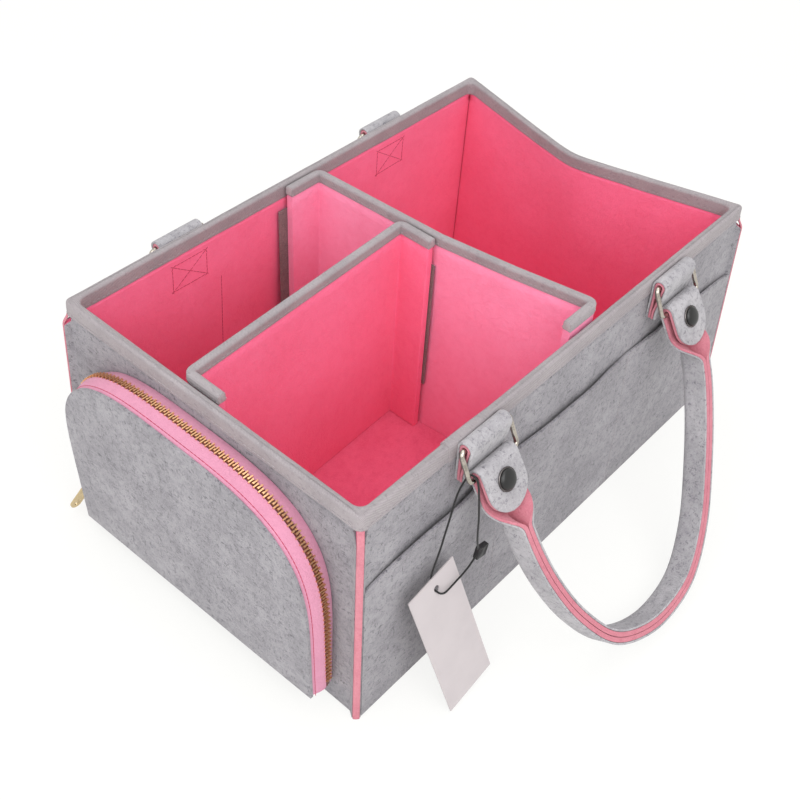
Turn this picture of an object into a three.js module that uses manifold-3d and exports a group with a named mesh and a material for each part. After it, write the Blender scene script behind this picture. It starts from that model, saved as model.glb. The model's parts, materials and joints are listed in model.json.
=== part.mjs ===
// A soft felt caddy for nursery things: an open box of doubled felt with two lift-out dividers,
// a zip pouch on one end, a pocket along each side, and two folded strap handles on wire rings.
// Millimetres. X runs along the length, from the zip pouch (-X) to the plain end (+X).
// Y runs from the near side (-Y), where the tag hangs, to the far side (+Y). Z is up from the floor.
import * as THREE from 'three';
import { mergeVertices } from 'three/addons/utils/BufferGeometryUtils.js';
import Module from 'manifold-3d';

const wasm = await Module();
wasm.setup();

// The body: outer faces of the walls at the rim, and how the soft walls stand.
const BODY_LENGTH = 377;
const BODY_WIDTH = 236;
const BODY_HEIGHT = 168.7;
const FLARE_LENGTH = 6.5;
const FLARE_WIDTH = 8;
const BOW_DEPTH = 33;
const BOW_CREASE_RADIUS = 9;
const BOW_START_X = 100;
const BOW_FULL_X = 170;

// Materials that the walls are made of, and the gap that touching pieces keep.
const FELT = 2;
const LINING = 2.5;
const TAPE = 0.9;
const CLEAR = 0.3;
const SEAM_REACH = 3;
const SEAM_PINCH = 0.75;
const SEAM_TAPER = 8;
const BINDING_DROP = 10.5;
const RIM_CORNER_RADIUS = 3.5;
const INNER_CORNER_RADIUS = 0.8;
const RIM_SINK = 0.7;
const RIM_FELT = 1.3;
const RIM_LINING = 1.5;
const END_CHAMFER = 0.4;
const LEDGE_DROP = 1.5;

// The long side pockets.
const POCKET_HEIGHT = 101;
const POCKET_BULGE = 5.5;
const POCKET_STITCH_LEFT_X = -72;
const POCKET_STITCH_RIGHT_X = 57;

// The zip pouch on the -X end.
const POUCH_END_GAP = 18;
const POUCH_TOP_GAP = 16.7;
const POUCH_SHOULDER = 60;
const POUCH_FOOT = 5;
const POUCH_DEPTH_AT_FLOOR = 9;
const POUCH_DEPTH_AT_TOP = 20.5;
const POUCH_FLAP_EDGE = 0.8;
const GUSSET = 1.5;
const ZIP_HALF_WIDTH = 2.2;
const ZIP_RISE = 1;
const ZIP_TOOTH_BITE = 0.8;
const ZIP_TOOTH_COUNT = 52;
const ARCH_POWER_SHARE = 3.4;
const GUSSET_SWELL_SHARE = 0.14;
const ZIP_PLACE_SHARE = 0.47;

// The slider of the zip and its pull.
const SLIDER_LENGTH = 13;
const SLIDER_WIDTH = 9;
const SLIDER_DEPTH = 2.4;
const SLIDER_CORNER = 2;
const SLIDER_HEIGHT_ON_LEG = 20;
const BAIL_LENGTH = 6.4;
const BAIL_RISE = 4;
const BAIL_WIDTH = 1.6;
const BAIL_WALL = 1.2;
const PULL_LENGTH = 22;
const PULL_WIDTH = 8;
const PULL_THICKNESS = 1.2;
const PULL_PIN = 1.2;
const PULL_RAIL = 1.1;
const PULL_WINDOW_LENGTH = 6.5;
const PULL_EYE_RADIUS = 1.3;
const PULL_TILT = THREE.MathUtils.degToRad(10);
const PULL_TURN = THREE.MathUtils.degToRad(38);

// The dividers that stand in the box.
const DIVIDER_BINDING_DROP = 7;
const DIVIDER_RIM_HALF = 1.6;
const DIVIDER_CORNER_RADIUS = 4;
const HOOK_STRIP = 1.4;
const HOOK_STRIP_WIDTH = 25;
const HOOK_STRIP_FOOT = 45;
const HOOK_STRIP_HEIGHT = 105;
const CROSS_NEAR_X = 24;
const CROSS_BEND_X = 17;
const CROSS_BEND_Y = 55;
const CROSS_MID_X = 12;
const CROSS_FAR_X = 13;
const CROSS_NEAR_TOP = 177;
const CROSS_FAR_TOP = 169;
const CROSS_NEAR_FLAP = 27;
const CROSS_FAR_FLAP = 28;
const PARTITION_FRONT_Y = 19.7;
const PARTITION_BACK_Y = 27.7;
const PARTITION_FRONT_TOP = 171.5;
const PARTITION_BACK_TOP = 173;
const PARTITION_FLAP = 26;

// The ring loops and the wire rings.
const LOOP_LEFT_X = -98;
const LOOP_RIGHT_X = 92;
const LOOP_WIDTH = 35;
const LOOP_FOOT = 103;
const LOOP_FELT = 1.4;
const LOOP_LINING = 1.6;
const LOOP_PINCH = 12;
const NEAR_BAR_DROP = 3;
const FAR_BAR_DROP = 6;
const RING_WIRE_RADIUS = 1.5;
const RING_HALF_WIDTH = 20.5;
const RING_HEIGHT = 19;
const RING_CORNER_RADIUS = 2.5;
const RING_TILT = THREE.MathUtils.degToRad(26.2);

// The handle straps, laid flat, and their snaps.
const STRAP_HALF_WIDTH = 18.5;
const STRAP_END_HALF_WIDTH = 15.5;
const STRAP_FELT = 1.3;
const STRAP_LINING = 2.9;
const STRAP_LINING_PRESSED = 1.7;
const STRAP_FOLD_RADIUS = 3.25;
const STRAP_FLAT_CREASE = 3;
const STRAP_TONGUE = 28;
const STRAP_TONGUE_SHOULDER = 13;
const STRAP_FLAT_RUN = 18;
const STRAP_SHIFT = 3.8;
const HANDLE_DROP = 160.8;
const NEAR_HANDLE_TILT = THREE.MathUtils.degToRad(31.7);
const FAR_HANDLE_TILT = THREE.MathUtils.degToRad(34.2);
const HANDLE_FOLD_DONE = 46;
const SNAP_PLACE = 9.5;
const SNAP_RADIUS = 6;
const SNAP_RISE = 2.2;
const SNAP_RIM_RADIUS = 7;
const SNAP_RIM_RISE = 0.9;

// The hang tag, its cord and its seal.
const TAG_WIDTH = 39.4;
const TAG_HEIGHT = 94;
const TAG_THICKNESS = 0.8;
const TAG_HOLE_RADIUS = 2.2;
const TAG_HOLE_ACROSS = 1.5;
const TAG_HOLE_DOWN = 8.5;
const TAG_TOP_X = -146.1;
const TAG_TOP_Y = -133.2;
const TAG_TOP_Z = 91.9;
const TAG_TURN = THREE.MathUtils.degToRad(0.7);
const TAG_LEAN = THREE.MathUtils.degToRad(-19.2);
const TAG_ROLL = THREE.MathUtils.degToRad(-6.1);
const SEAL_SIZE = 12;
const SEAL_THICKNESS = 5;
const SEAL_CORNER = 1.5;
const SEAL_X = -112.5;
const SEAL_Y = -140;
const SEAL_Z = 87.2;
const CORD_RADIUS = 0.6;
const CORD_SIDES = 8;
const CORD_STEPS = 78;

// Counts that set how finely the shapes are faceted.
const ARC_STEPS = 6;
const RIM_CORNER_STEPS = 4;
const BOW_STEPS = 8;
const POCKET_STEPS = 8;
const ARCH_STEPS = 40;
const WIRE_SIDES = 8;
const ROLL_STEPS = 6;
const STRAP_ARC_STEPS = 16;
const STRAP_FOLD_STEPS = 5;
const SNAP_SIDES = 24;

// Worked out from the sizes above.
const halfLength = BODY_LENGTH / 2;
const halfWidth = BODY_WIDTH / 2;
const wallDepth = FELT + CLEAR + LINING;
const floorTop = FELT + CLEAR + LINING;
const bindingFoot = BODY_HEIGHT - BINDING_DROP;
const channelTop = BODY_HEIGHT - TAPE;
const wallTop = channelTop - CLEAR;
const seamTop = bindingFoot - CLEAR;
const seamInner = CLEAR / 2;
const liningSeam = [seamInner, seamInner + LINING];
const feltSeam = [liningSeam[1] + CLEAR, liningSeam[1] + CLEAR + FELT];
const rimFeltDepths = [RIM_SINK, RIM_SINK + RIM_FELT];
const rimLiningDepths = [rimFeltDepths[1] + CLEAR, rimFeltDepths[1] + CLEAR + RIM_LINING];
const rimOverhang = CLEAR + TAPE - RIM_SINK;
const rimInset = rimLiningDepths[1] + CLEAR + TAPE;
const pouchHalfWidth = halfWidth - POUCH_END_GAP;
const pouchHeight = BODY_HEIGHT - POUCH_TOP_GAP;
const NEAR = -1;
const FAR = 1;

const finishes = {
  felt: { color: 0xb9b6bb, roughness: 0.95, metalness: 0 },
  lining: { color: 0xf0607e, roughness: 0.9, metalness: 0 },
  gusset: { color: 0xf2a3c6, roughness: 0.85, metalness: 0 },
  tape: { color: 0xb5aeb6, roughness: 0.9, metalness: 0 },
  hook: { color: 0x6f6462, roughness: 1, metalness: 0 },
  chrome: { color: 0xd9d9d6, roughness: 0.15, metalness: 1 },
  snap: { color: 0x1c1b1d, roughness: 0.35, metalness: 0.2 },
  copper: { color: 0xc98d62, roughness: 0.35, metalness: 1 },
  gold: { color: 0xc9a765, roughness: 0.3, metalness: 1 },
  card: { color: 0xe4e3e6, roughness: 0.6, metalness: 0 },
  cord: { color: 0x141316, roughness: 0.7, metalness: 0 },
};

const group = new THREE.Group();

/** Adds a named mesh with its own material to the part. */
function addPiece(name, geometry, finish) {
  const mesh = new THREE.Mesh(geometry, new THREE.MeshStandardMaterial(finishes[finish]));
  mesh.name = name;
  group.add(mesh);
  return mesh;
}

/** Collects points and faces, then closes them as one solid whose faces point out. */
class Skin {
  constructor() {
    this.points = [];
    this.faces = [];
  }

  point(position) {
    this.points.push(position.x, position.y, position.z);
    return this.points.length / 3 - 1;
  }

  triangle(a, b, c) {
    this.faces.push(a, b, c);
  }

  quad(a, b, c, d) {
    this.triangle(a, b, c);
    this.triangle(a, c, d);
  }

  volume() {
    const corner = [new THREE.Vector3(), new THREE.Vector3(), new THREE.Vector3()];
    let total = 0;
    for (let face = 0; face < this.faces.length; face += 3) {
      corner.forEach((vector, place) => vector.fromArray(this.points, 3 * this.faces[face + place]));
      total += corner[0].dot(corner[1].clone().cross(corner[2]));
    }
    return total;
  }

  geometry() {
    const inward = this.volume() < 0;
    const faces = [];
    for (let face = 0; face < this.faces.length; face += 3) {
      const [a, b, c] = this.faces.slice(face, face + 3);
      faces.push(a, inward ? c : b, inward ? b : c);
    }
    const solid = new THREE.BufferGeometry();
    solid.setAttribute('position', new THREE.Float32BufferAttribute(this.points, 3));
    solid.setIndex(faces);
    return solid;
  }
}

/** A closed sheet between two grids of points of the same size. */
function sheet(front, back) {
  const skin = new Skin();
  const near = front.map((row) => row.map((position) => skin.point(position)));
  const far = back.map((row) => row.map((position) => skin.point(position)));
  const lastRow = near.length - 1;
  const lastColumn = near[0].length - 1;
  for (let row = 0; row < lastRow; row += 1) {
    for (let column = 0; column < lastColumn; column += 1) {
      skin.quad(near[row][column], near[row][column + 1], near[row + 1][column + 1], near[row + 1][column]);
      skin.quad(far[row][column], far[row + 1][column], far[row + 1][column + 1], far[row][column + 1]);
    }
    skin.quad(near[row][0], near[row + 1][0], far[row + 1][0], far[row][0]);
    const last = [near[row + 1][lastColumn], near[row][lastColumn]];
    skin.quad(...last, far[row][lastColumn], far[row + 1][lastColumn]);
  }
  for (let column = 0; column < lastColumn; column += 1) {
    skin.quad(near[0][column + 1], near[0][column], far[0][column], far[0][column + 1]);
    const top = [near[lastRow][column], near[lastRow][column + 1]];
    skin.quad(...top, far[lastRow][column + 1], far[lastRow][column]);
  }
  return skin.geometry();
}

/** A solid through a row of sections; flatEnds hold the outlines that close its two ends. */
function loft(sections, flatEnds) {
  const skin = new Skin();
  const rings = sections.map((section) => section.map((position) => skin.point(position)));
  const count = rings[0].length;
  const last = flatEnds ? rings.length - 1 : rings.length;
  for (let step = 0; step < last; step += 1) {
    const here = rings[step];
    const next = rings[(step + 1) % rings.length];
    for (let side = 0; side < count; side += 1) {
      const across = (side + 1) % count;
      skin.quad(here[side], here[across], next[across], next[side]);
    }
  }
  if (flatEnds) {
    capFaces(flatEnds[0]).forEach(([a, b, c]) => skin.triangle(rings[0][c], rings[0][b], rings[0][a]));
    const end = rings[rings.length - 1];
    capFaces(flatEnds[1]).forEach(([a, b, c]) => skin.triangle(end[a], end[b], end[c]));
  }
  return skin.geometry();
}

/** The triangles that fill an outline, turned the same way as the outline itself. */
function capFaces(outline) {
  const clockwise = THREE.ShapeUtils.isClockWise(outline);
  return THREE.ShapeUtils.triangulateShape(outline, []).map((face) => {
    const corners = face.map((index) => outline[index]);
    return THREE.ShapeUtils.isClockWise(corners) === clockwise ? face : [...face].reverse();
  });
}

/** Moves a point of the straight box to where the soft body has it: wider at the floor, bowed at +X. */
function dress(position) {
  const rise = position.z / BODY_HEIGHT;
  const widerX = 1 + (FLARE_LENGTH / halfLength) * (1 - rise);
  const widerY = 1 + (FLARE_WIDTH / halfWidth) * (1 - rise);
  const lift = Math.max(0, position.z - floorTop) / (BODY_HEIGHT - floorTop);
  const reach = THREE.MathUtils.clamp((position.x - BOW_START_X) / (BOW_FULL_X - BOW_START_X), 0, 1);
  const across = Math.max(0, 1 - Math.hypot(position.y, BOW_CREASE_RADIUS) / halfWidth);
  const x = position.x * widerX - BOW_DEPTH * lift * reach * across;
  return new THREE.Vector3(x, position.y * widerY, position.z);
}

/** Where a wall's corner seam stands: a point on the diagonal flange, in wall coordinates. */
function seamPoint(halfSpan, half, offset, reach) {
  const along = (reach - offset) * Math.SQRT1_2;
  const out = (reach + offset) * Math.SQRT1_2;
  return [halfSpan + along, half + out];
}

/** One layer of a wall, with its share of the corner seams, squeezed thinner inside the binding. */
function wallLayer(side, depths, rimDepths, seam, bowed) {
  const halfSpan = side.halfSpan;
  const half = side.half;
  const outer = half - depths[0];
  const inner = half - depths[1];
  const rimCut = halfSpan - Math.max(RIM_CORNER_RADIUS, rimLiningDepths[1]) - CLEAR;
  const between = [];
  for (let step = 1 - BOW_STEPS; bowed && step < BOW_STEPS; step += 1) {
    between.push((rimCut * step) / BOW_STEPS);
  }
  const outerEnd = halfSpan - depths[0] - Math.SQRT2 * seam[1];
  const innerEnd = halfSpan - depths[1] - Math.SQRT2 * seam[0];
  const tipOuter = seamPoint(halfSpan, half, SEAM_PINCH * seam[1], SEAM_REACH);
  const tipInner = seamPoint(halfSpan, half, SEAM_PINCH * seam[0], SEAM_REACH);
  const low = [[-outerEnd, outer], ...between.map((a) => [a, outer]), [outerEnd, outer], tipOuter, tipInner,
    [innerEnd, inner], ...between.map((a) => [-a, inner]), [-innerEnd, inner],
    [-tipInner[0], tipInner[1]], [-tipOuter[0], tipOuter[1]]];
  const tucked = ([near, far], cut) => {
    const end = cut - END_CHAMFER;
    const face = half - near;
    const back = half - far;
    return [[-end, face], ...between.map((a) => [a, face]), [end, face], [cut, face - END_CHAMFER],
      [cut, back + END_CHAMFER], [end, back], ...between.map((a) => [-a, back]), [-end, back],
      [-cut, back + END_CHAMFER], [-cut, face - END_CHAMFER]];
  };
  const high = tucked(rimDepths, rimCut);
  const taperFoot = seamTop - SEAM_TAPER;
  const levels = bowed
    ? Array.from({ length: BOW_STEPS + 1 }, (_, step) => floorTop
      + ((taperFoot - floorTop) * step) / BOW_STEPS)
    : [taperFoot];
  const ledge = tucked(depths, halfSpan - wallDepth - CLEAR);
  const rows = [[0, low], ...levels.map((z) => [z, low]), [seamTop - LEDGE_DROP, ledge],
    [seamTop, high], [wallTop, high]];
  const sections = rows.map(([z, outline]) => outline.map(([a, out]) => dress(side.place(a, out, z))));
  const flat = (outline) => outline.map(([a, out]) => new THREE.Vector2(a, out));
  return loft(sections, [flat(low), flat(high)]);
}

const wallSides = {
  near: { halfSpan: halfLength, half: halfWidth, place: (a, out, z) => new THREE.Vector3(a, -out, z) },
  far: { halfSpan: halfLength, half: halfWidth, place: (a, out, z) => new THREE.Vector3(a, out, z) },
  zip_end: { halfSpan: halfWidth, half: halfLength, place: (a, out, z) => new THREE.Vector3(-out, a, z) },
  plain_end: { halfSpan: halfWidth, half: halfLength, place: (a, out, z) => new THREE.Vector3(out, a, z) },
};

/** Builds the four walls, each of grey felt outside and pink felt inside. */
function buildWalls() {
  Object.entries(wallSides).forEach(([name, side]) => {
    const bowed = name === 'plain_end';
    const felt = wallLayer(side, [0, FELT], rimFeltDepths, feltSeam, bowed);
    const lining = wallLayer(side, [FELT + CLEAR, wallDepth], rimLiningDepths, liningSeam, bowed);
    addPiece(`wall_${name}_felt`, felt, 'felt');
    addPiece(`wall_${name}_lining`, lining, 'lining');
  });
}

/** Builds the floor panel and its lining. */
function buildFloor() {
  const insetX = halfLength - wallDepth - CLEAR;
  const insetY = halfWidth - wallDepth - CLEAR;
  const slab = (low, high) => {
    const corners = [[-insetX, -insetY], [insetX, -insetY], [insetX, insetY], [-insetX, insetY]];
    const sections = [low, high].map((z) => corners.map(([x, y]) => dress(new THREE.Vector3(x, y, z))));
    const flat = corners.map(([x, y]) => new THREE.Vector2(x, y));
    return loft(sections, [flat, flat]);
  };
  addPiece('floor_felt', slab(0, FELT), 'felt');
  addPiece('floor_lining', slab(FELT + CLEAR, floorTop), 'lining');
}

/** The closed outline of the rim at a distance out from the walls' outer faces. */
function rimOutline(out) {
  const outline = [];
  const radius = Math.max(INNER_CORNER_RADIUS, RIM_CORNER_RADIUS + out);
  const straightX = halfLength + out - radius;
  const straightY = halfWidth + out - radius;
  const corners = [[1, 1, 0], [-1, 1, 1], [-1, -1, 2], [1, -1, 3]];
  corners.forEach(([signX, signY, quarter]) => {
    for (let step = 0; step <= RIM_CORNER_STEPS; step += 1) {
      const angle = (Math.PI / 2) * (quarter + step / RIM_CORNER_STEPS);
      const normal = new THREE.Vector2(Math.cos(angle), Math.sin(angle));
      outline.push(new THREE.Vector2(signX * straightX, signY * straightY).addScaledVector(normal, radius));
    }
  });
  const cut = halfWidth - Math.max(RIM_CORNER_RADIUS, rimLiningDepths[1]) - CLEAR;
  for (let step = 1 - BOW_STEPS; step < BOW_STEPS; step += 1) {
    outline.push(new THREE.Vector2(halfLength + out, (cut * step) / BOW_STEPS));
  }
  return outline;
}

/** The folded tape's section: how far out from the outer face, and how high. */
function tapeSection(outFace, inFace, foot, top) {
  const round = TAPE / 2;
  return [[outFace + TAPE, foot], [outFace + TAPE, top - round], [outFace + round, top],
    [inFace - round, top], [inFace - TAPE, top - round], [inFace - TAPE, foot], [inFace, foot],
    [inFace, top - TAPE], [outFace, top - TAPE], [outFace, foot]];
}

/** Builds the tape that is folded over the rim all the way round. */
function buildRimBinding() {
  const profile = tapeSection(CLEAR - RIM_SINK, -rimLiningDepths[1] - CLEAR, bindingFoot, BODY_HEIGHT);
  const outlines = profile.map(([out]) => rimOutline(out));
  const sections = outlines[0].map((_, station) => profile.map(([, z], corner) => {
    const spot = outlines[corner][station];
    return dress(new THREE.Vector3(spot.x, spot.y, z));
  }));
  addPiece('rim_binding', loft(sections), 'tape');
}

/** How far a side pocket stands off its wall. */
function pocketBulge(x, z, end) {
  const seams = [-end, POCKET_STITCH_LEFT_X, POCKET_STITCH_RIGHT_X, end];
  const pocket = Math.max(0, seams.findIndex((seam, index) => index > 0 && x <= seams[index]) - 1);
  const along = (x - seams[pocket]) / (seams[pocket + 1] - seams[pocket]);
  const hang = (z / POCKET_HEIGHT) ** 2;
  return POCKET_BULGE * hang * Math.max(0, Math.sin(Math.PI * along));
}

/** Builds one long side pocket, stitched down into three. */
function buildPocket(name, sign) {
  const end = halfLength - Math.SQRT2 * feltSeam[1] - CLEAR;
  const seams = [-end, POCKET_STITCH_LEFT_X, POCKET_STITCH_RIGHT_X, end];
  const stations = [-end];
  for (let pocket = 0; pocket < seams.length - 1; pocket += 1) {
    for (let step = 1; step <= POCKET_STEPS; step += 1) {
      stations.push(seams[pocket] + ((seams[pocket + 1] - seams[pocket]) * step) / POCKET_STEPS);
    }
  }
  const rows = Array.from({ length: ARC_STEPS }, (_, row) => (POCKET_HEIGHT * row) / (ARC_STEPS - 1));
  const face = (offset) => rows.map((z) => stations.map((x) => {
    const out = halfWidth + CLEAR + offset + pocketBulge(x, z, end);
    return dress(new THREE.Vector3(x, sign * out, z));
  }));
  addPiece(name, sheet(face(FELT), face(0)), 'felt');
}

/** Points at even steps along a run of points. */
function evenly(points, steps) {
  const path = new THREE.CurvePath();
  points.slice(1).forEach((point, index) => path.add(new THREE.LineCurve(points[index], point)));
  return path.getSpacedPoints(steps);
}

/** The pouch's arch, from its near foot over the top to its far foot, as (y, z) points. */
function archPoints(steps) {
  const rise = pouchHeight - POUCH_SHOULDER;
  const fine = [new THREE.Vector2(-pouchHalfWidth, POUCH_FOOT)];
  const count = ARCH_STEPS * 4;
  for (let step = 0; step <= count; step += 1) {
    const angle = Math.PI * (1 - step / count);
    const cosine = Math.cos(angle);
    const across = Math.sign(cosine) * Math.abs(cosine) ** (2 / ARCH_POWER_SHARE);
    const up = Math.abs(Math.sin(angle)) ** (2 / ARCH_POWER_SHARE);
    fine.push(new THREE.Vector2(pouchHalfWidth * across, POUCH_SHOULDER + rise * up));
  }
  fine.push(new THREE.Vector2(pouchHalfWidth, POUCH_FOOT));
  return evenly(fine, steps);
}

/** The arch's points with the normal that points out of it. */
function archWithNormals(steps) {
  const points = archPoints(steps);
  return points.map((place, index) => {
    const before = points[Math.max(0, index - 1)];
    const after = points[Math.min(points.length - 1, index + 1)];
    const along = after.clone().sub(before).normalize();
    return { place, normal: new THREE.Vector2(-along.y, along.x) };
  });
}

/** How deep the pouch stands off the end wall at a height. */
function pouchDepth(z) {
  const slope = (POUCH_DEPTH_AT_TOP - POUCH_DEPTH_AT_FLOOR) / pouchHeight;
  return POUCH_DEPTH_AT_FLOOR + slope * z;
}

/** A point of the gusset: the arch's place, how far off the wall, and how far above the felt. */
function gussetPoint(station, offWall, above) {
  const depth = pouchDepth(station.place.y);
  const swell = GUSSET_SWELL_SHARE * depth * Math.sin((Math.PI * offWall) / depth);
  const spot = station.place.clone().addScaledVector(station.normal, swell + above);
  const x = -(halfLength + CLEAR + offWall);
  return dress(new THREE.Vector3(x, spot.x, Math.max(POUCH_FOOT, spot.y)));
}

/** One half of the pink gusset, between two distances off the wall. */
function gussetHalf(limits) {
  const stations = archWithNormals(ARCH_STEPS);
  const shares = [0, 1 / 3, 2 / 3, 1];
  const face = (above) => shares.map((share) => stations.map((station) => {
    const [low, high] = limits(pouchDepth(station.place.y));
    return gussetPoint(station, low + (high - low) * share, above);
  }));
  return sheet(face(0), face(-GUSSET));
}

/** One half of the zip's chain: a strip whose teeth bite past the middle by turns. */
function zipHalf(sign) {
  const steps = ZIP_TOOTH_COUNT * 4;
  const stations = archWithNormals(steps);
  const row = (offset, above) => stations.map((station) => {
    const middle = ZIP_PLACE_SHARE * pouchDepth(station.place.y);
    return gussetPoint(station, middle + offset, above);
  });
  const biting = (above) => stations.map((station, index) => {
    const middle = ZIP_PLACE_SHARE * pouchDepth(station.place.y);
    const tooth = Math.floor(((index + 1) % steps) / 2) % 2 === 0 ? 1 : -1;
    const edge = tooth * ZIP_TOOTH_BITE + (sign * CLEAR) / 2;
    return gussetPoint(station, middle + edge, above);
  });
  const back = sign * ZIP_HALF_WIDTH;
  return sheet([row(back, ZIP_RISE), biting(ZIP_RISE)], [row(back, -GUSSET), biting(-GUSSET)]);
}

/** The pouch's flat front of grey felt. */
function pouchFront() {
  const outline = archWithNormals(ARCH_STEPS).map(({ place, normal }) => {
    const spot = place.clone().addScaledVector(normal, POUCH_FLAP_EDGE);
    return new THREE.Vector2(spot.x, Math.max(POUCH_FOOT, spot.y));
  });
  const sections = [0, FELT].map((thickness) => outline.map((spot) => {
    const x = -(halfLength + CLEAR + pouchDepth(spot.y) + CLEAR + thickness);
    return dress(new THREE.Vector3(x, spot.x, spot.y));
  }));
  return loft(sections, [outline, outline]);
}

/** Builds the pouch: its front, both halves of its gusset and both halves of its zip. */
function buildPouch() {
  const zipLow = (depth) => ZIP_PLACE_SHARE * depth - ZIP_HALF_WIDTH - CLEAR;
  const zipHigh = (depth) => ZIP_PLACE_SHARE * depth + ZIP_HALF_WIDTH + CLEAR;
  addPiece('pouch_front', pouchFront(), 'felt');
  addPiece('pouch_gusset_back', gussetHalf((depth) => [0, zipLow(depth)]), 'gusset');
  addPiece('pouch_gusset_front', gussetHalf((depth) => [zipHigh(depth), depth]), 'gusset');
  addPiece('zip_chain_back', zipHalf(-1), 'copper');
  addPiece('zip_chain_front', zipHalf(1), 'copper');
}

/** A rectangle with round corners, centred on the origin. */
function roundedRectangle(width, height, radius) {
  const shape = new THREE.Shape();
  const x = width / 2 - radius;
  const y = height / 2 - radius;
  shape.absarc(x, y, radius, 0, Math.PI / 2);
  shape.absarc(-x, y, radius, Math.PI / 2, Math.PI);
  shape.absarc(-x, -y, radius, Math.PI, Math.PI * 1.5);
  shape.absarc(x, -y, radius, Math.PI * 1.5, Math.PI * 2);
  return shape;
}

/** A geometry as a solid that can be joined with another. */
function toManifold(geometry) {
  const bare = geometry.clone();
  bare.deleteAttribute('normal');
  bare.deleteAttribute('uv');
  const merged = mergeVertices(bare);
  const mesh = new wasm.Mesh({
    numProp: 3,
    vertProperties: Float32Array.from(merged.attributes.position.array),
    triVerts: Uint32Array.from(merged.index.array),
  });
  return new wasm.Manifold(mesh);
}

/** A joined solid back as a geometry. */
function fromManifold(solid) {
  const mesh = solid.getMesh();
  const geometry = new THREE.BufferGeometry();
  geometry.setAttribute('position', new THREE.Float32BufferAttribute(mesh.vertProperties, 3));
  geometry.setIndex(Array.from(mesh.triVerts));
  return geometry;
}

/** The slider's body with the bail that its pull hangs on; it faces +Z here, its length along Y. */
function sliderGeometry() {
  const plate = new THREE.ExtrudeGeometry(roundedRectangle(SLIDER_WIDTH, SLIDER_LENGTH, SLIDER_CORNER), {
    depth: SLIDER_DEPTH, bevelEnabled: false, curveSegments: ARC_STEPS,
  });
  const bail = new THREE.Shape();
  const outer = BAIL_LENGTH / 2;
  const inner = outer - BAIL_WALL;
  bail.moveTo(-outer, -SLIDER_DEPTH / 2);
  bail.lineTo(outer, -SLIDER_DEPTH / 2);
  bail.lineTo(outer, 0);
  bail.absellipse(0, 0, outer, BAIL_RISE, 0, Math.PI);
  const gap = new THREE.Path();
  gap.moveTo(inner, 0);
  gap.absellipse(0, 0, inner, BAIL_RISE - BAIL_WALL, 0, Math.PI);
  gap.lineTo(-inner, 0);
  gap.closePath();
  bail.holes.push(gap);
  const arch = new THREE.ExtrudeGeometry(bail, {
    depth: BAIL_WIDTH, bevelEnabled: false, curveSegments: ARC_STEPS * 2,
  });
  arch.rotateX(Math.PI / 2);
  arch.rotateZ(Math.PI / 2);
  arch.translate(-BAIL_WIDTH / 2, 0, SLIDER_DEPTH);
  return fromManifold(toManifold(plate).add(toManifold(arch)));
}

/** The pull: a small plate whose window leaves a pin across its top. */
function pullGeometry() {
  const shape = new THREE.Shape();
  const half = PULL_WIDTH / 2;
  const top = PULL_PIN / 2;
  const tipCentre = -(PULL_LENGTH - half);
  shape.moveTo(half, top);
  shape.lineTo(-half, top);
  shape.lineTo(-half, tipCentre);
  shape.absarc(0, tipCentre, half, Math.PI, Math.PI * 2);
  shape.lineTo(half, top);
  const window = new THREE.Path();
  const side = half - PULL_RAIL;
  window.moveTo(-side, -top);
  window.lineTo(side, -top);
  window.lineTo(side, -PULL_WINDOW_LENGTH);
  window.lineTo(-side, -PULL_WINDOW_LENGTH);
  window.closePath();
  shape.holes.push(window);
  const eye = new THREE.Path();
  eye.absarc(0, tipCentre, PULL_EYE_RADIUS, 0, Math.PI * 2);
  shape.holes.push(eye);
  const plate = new THREE.ExtrudeGeometry(shape, {
    depth: PULL_THICKNESS, bevelEnabled: false, curveSegments: ARC_STEPS,
  });
  plate.translate(0, 0, -PULL_THICKNESS / 2);
  return plate;
}

/** Builds the slider at the far leg of the zip, and its pull. */
function buildSlider() {
  const leg = (z) => gussetPoint({
    place: new THREE.Vector2(pouchHalfWidth, z), normal: new THREE.Vector2(1, 0),
  }, ZIP_PLACE_SHARE * pouchDepth(z), ZIP_RISE + CLEAR);
  const low = leg(SLIDER_HEIGHT_ON_LEG);
  const high = leg(SLIDER_HEIGHT_ON_LEG + SLIDER_LENGTH);
  const up = high.clone().sub(low).normalize();
  const across = new THREE.Vector3(-1, 0, 0).addScaledVector(up, up.x).normalize();
  const out = across.clone().cross(up).normalize();
  const turn = new THREE.Matrix4().makeBasis(across, up, out);
  const slider = addPiece('zip_slider', sliderGeometry(), 'gold');
  slider.quaternion.setFromRotationMatrix(turn);
  slider.position.copy(low);
  const pinHeight = SLIDER_DEPTH + (BAIL_RISE - BAIL_WALL) / 2;
  const pull = addPiece('zip_pull', pullGeometry(), 'gold');
  pull.quaternion.setFromRotationMatrix(turn);
  pull.rotateZ(PULL_TURN);
  pull.rotateX(-PULL_TILT);
  pull.position.copy(low).addScaledVector(out, pinHeight);
}

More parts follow.
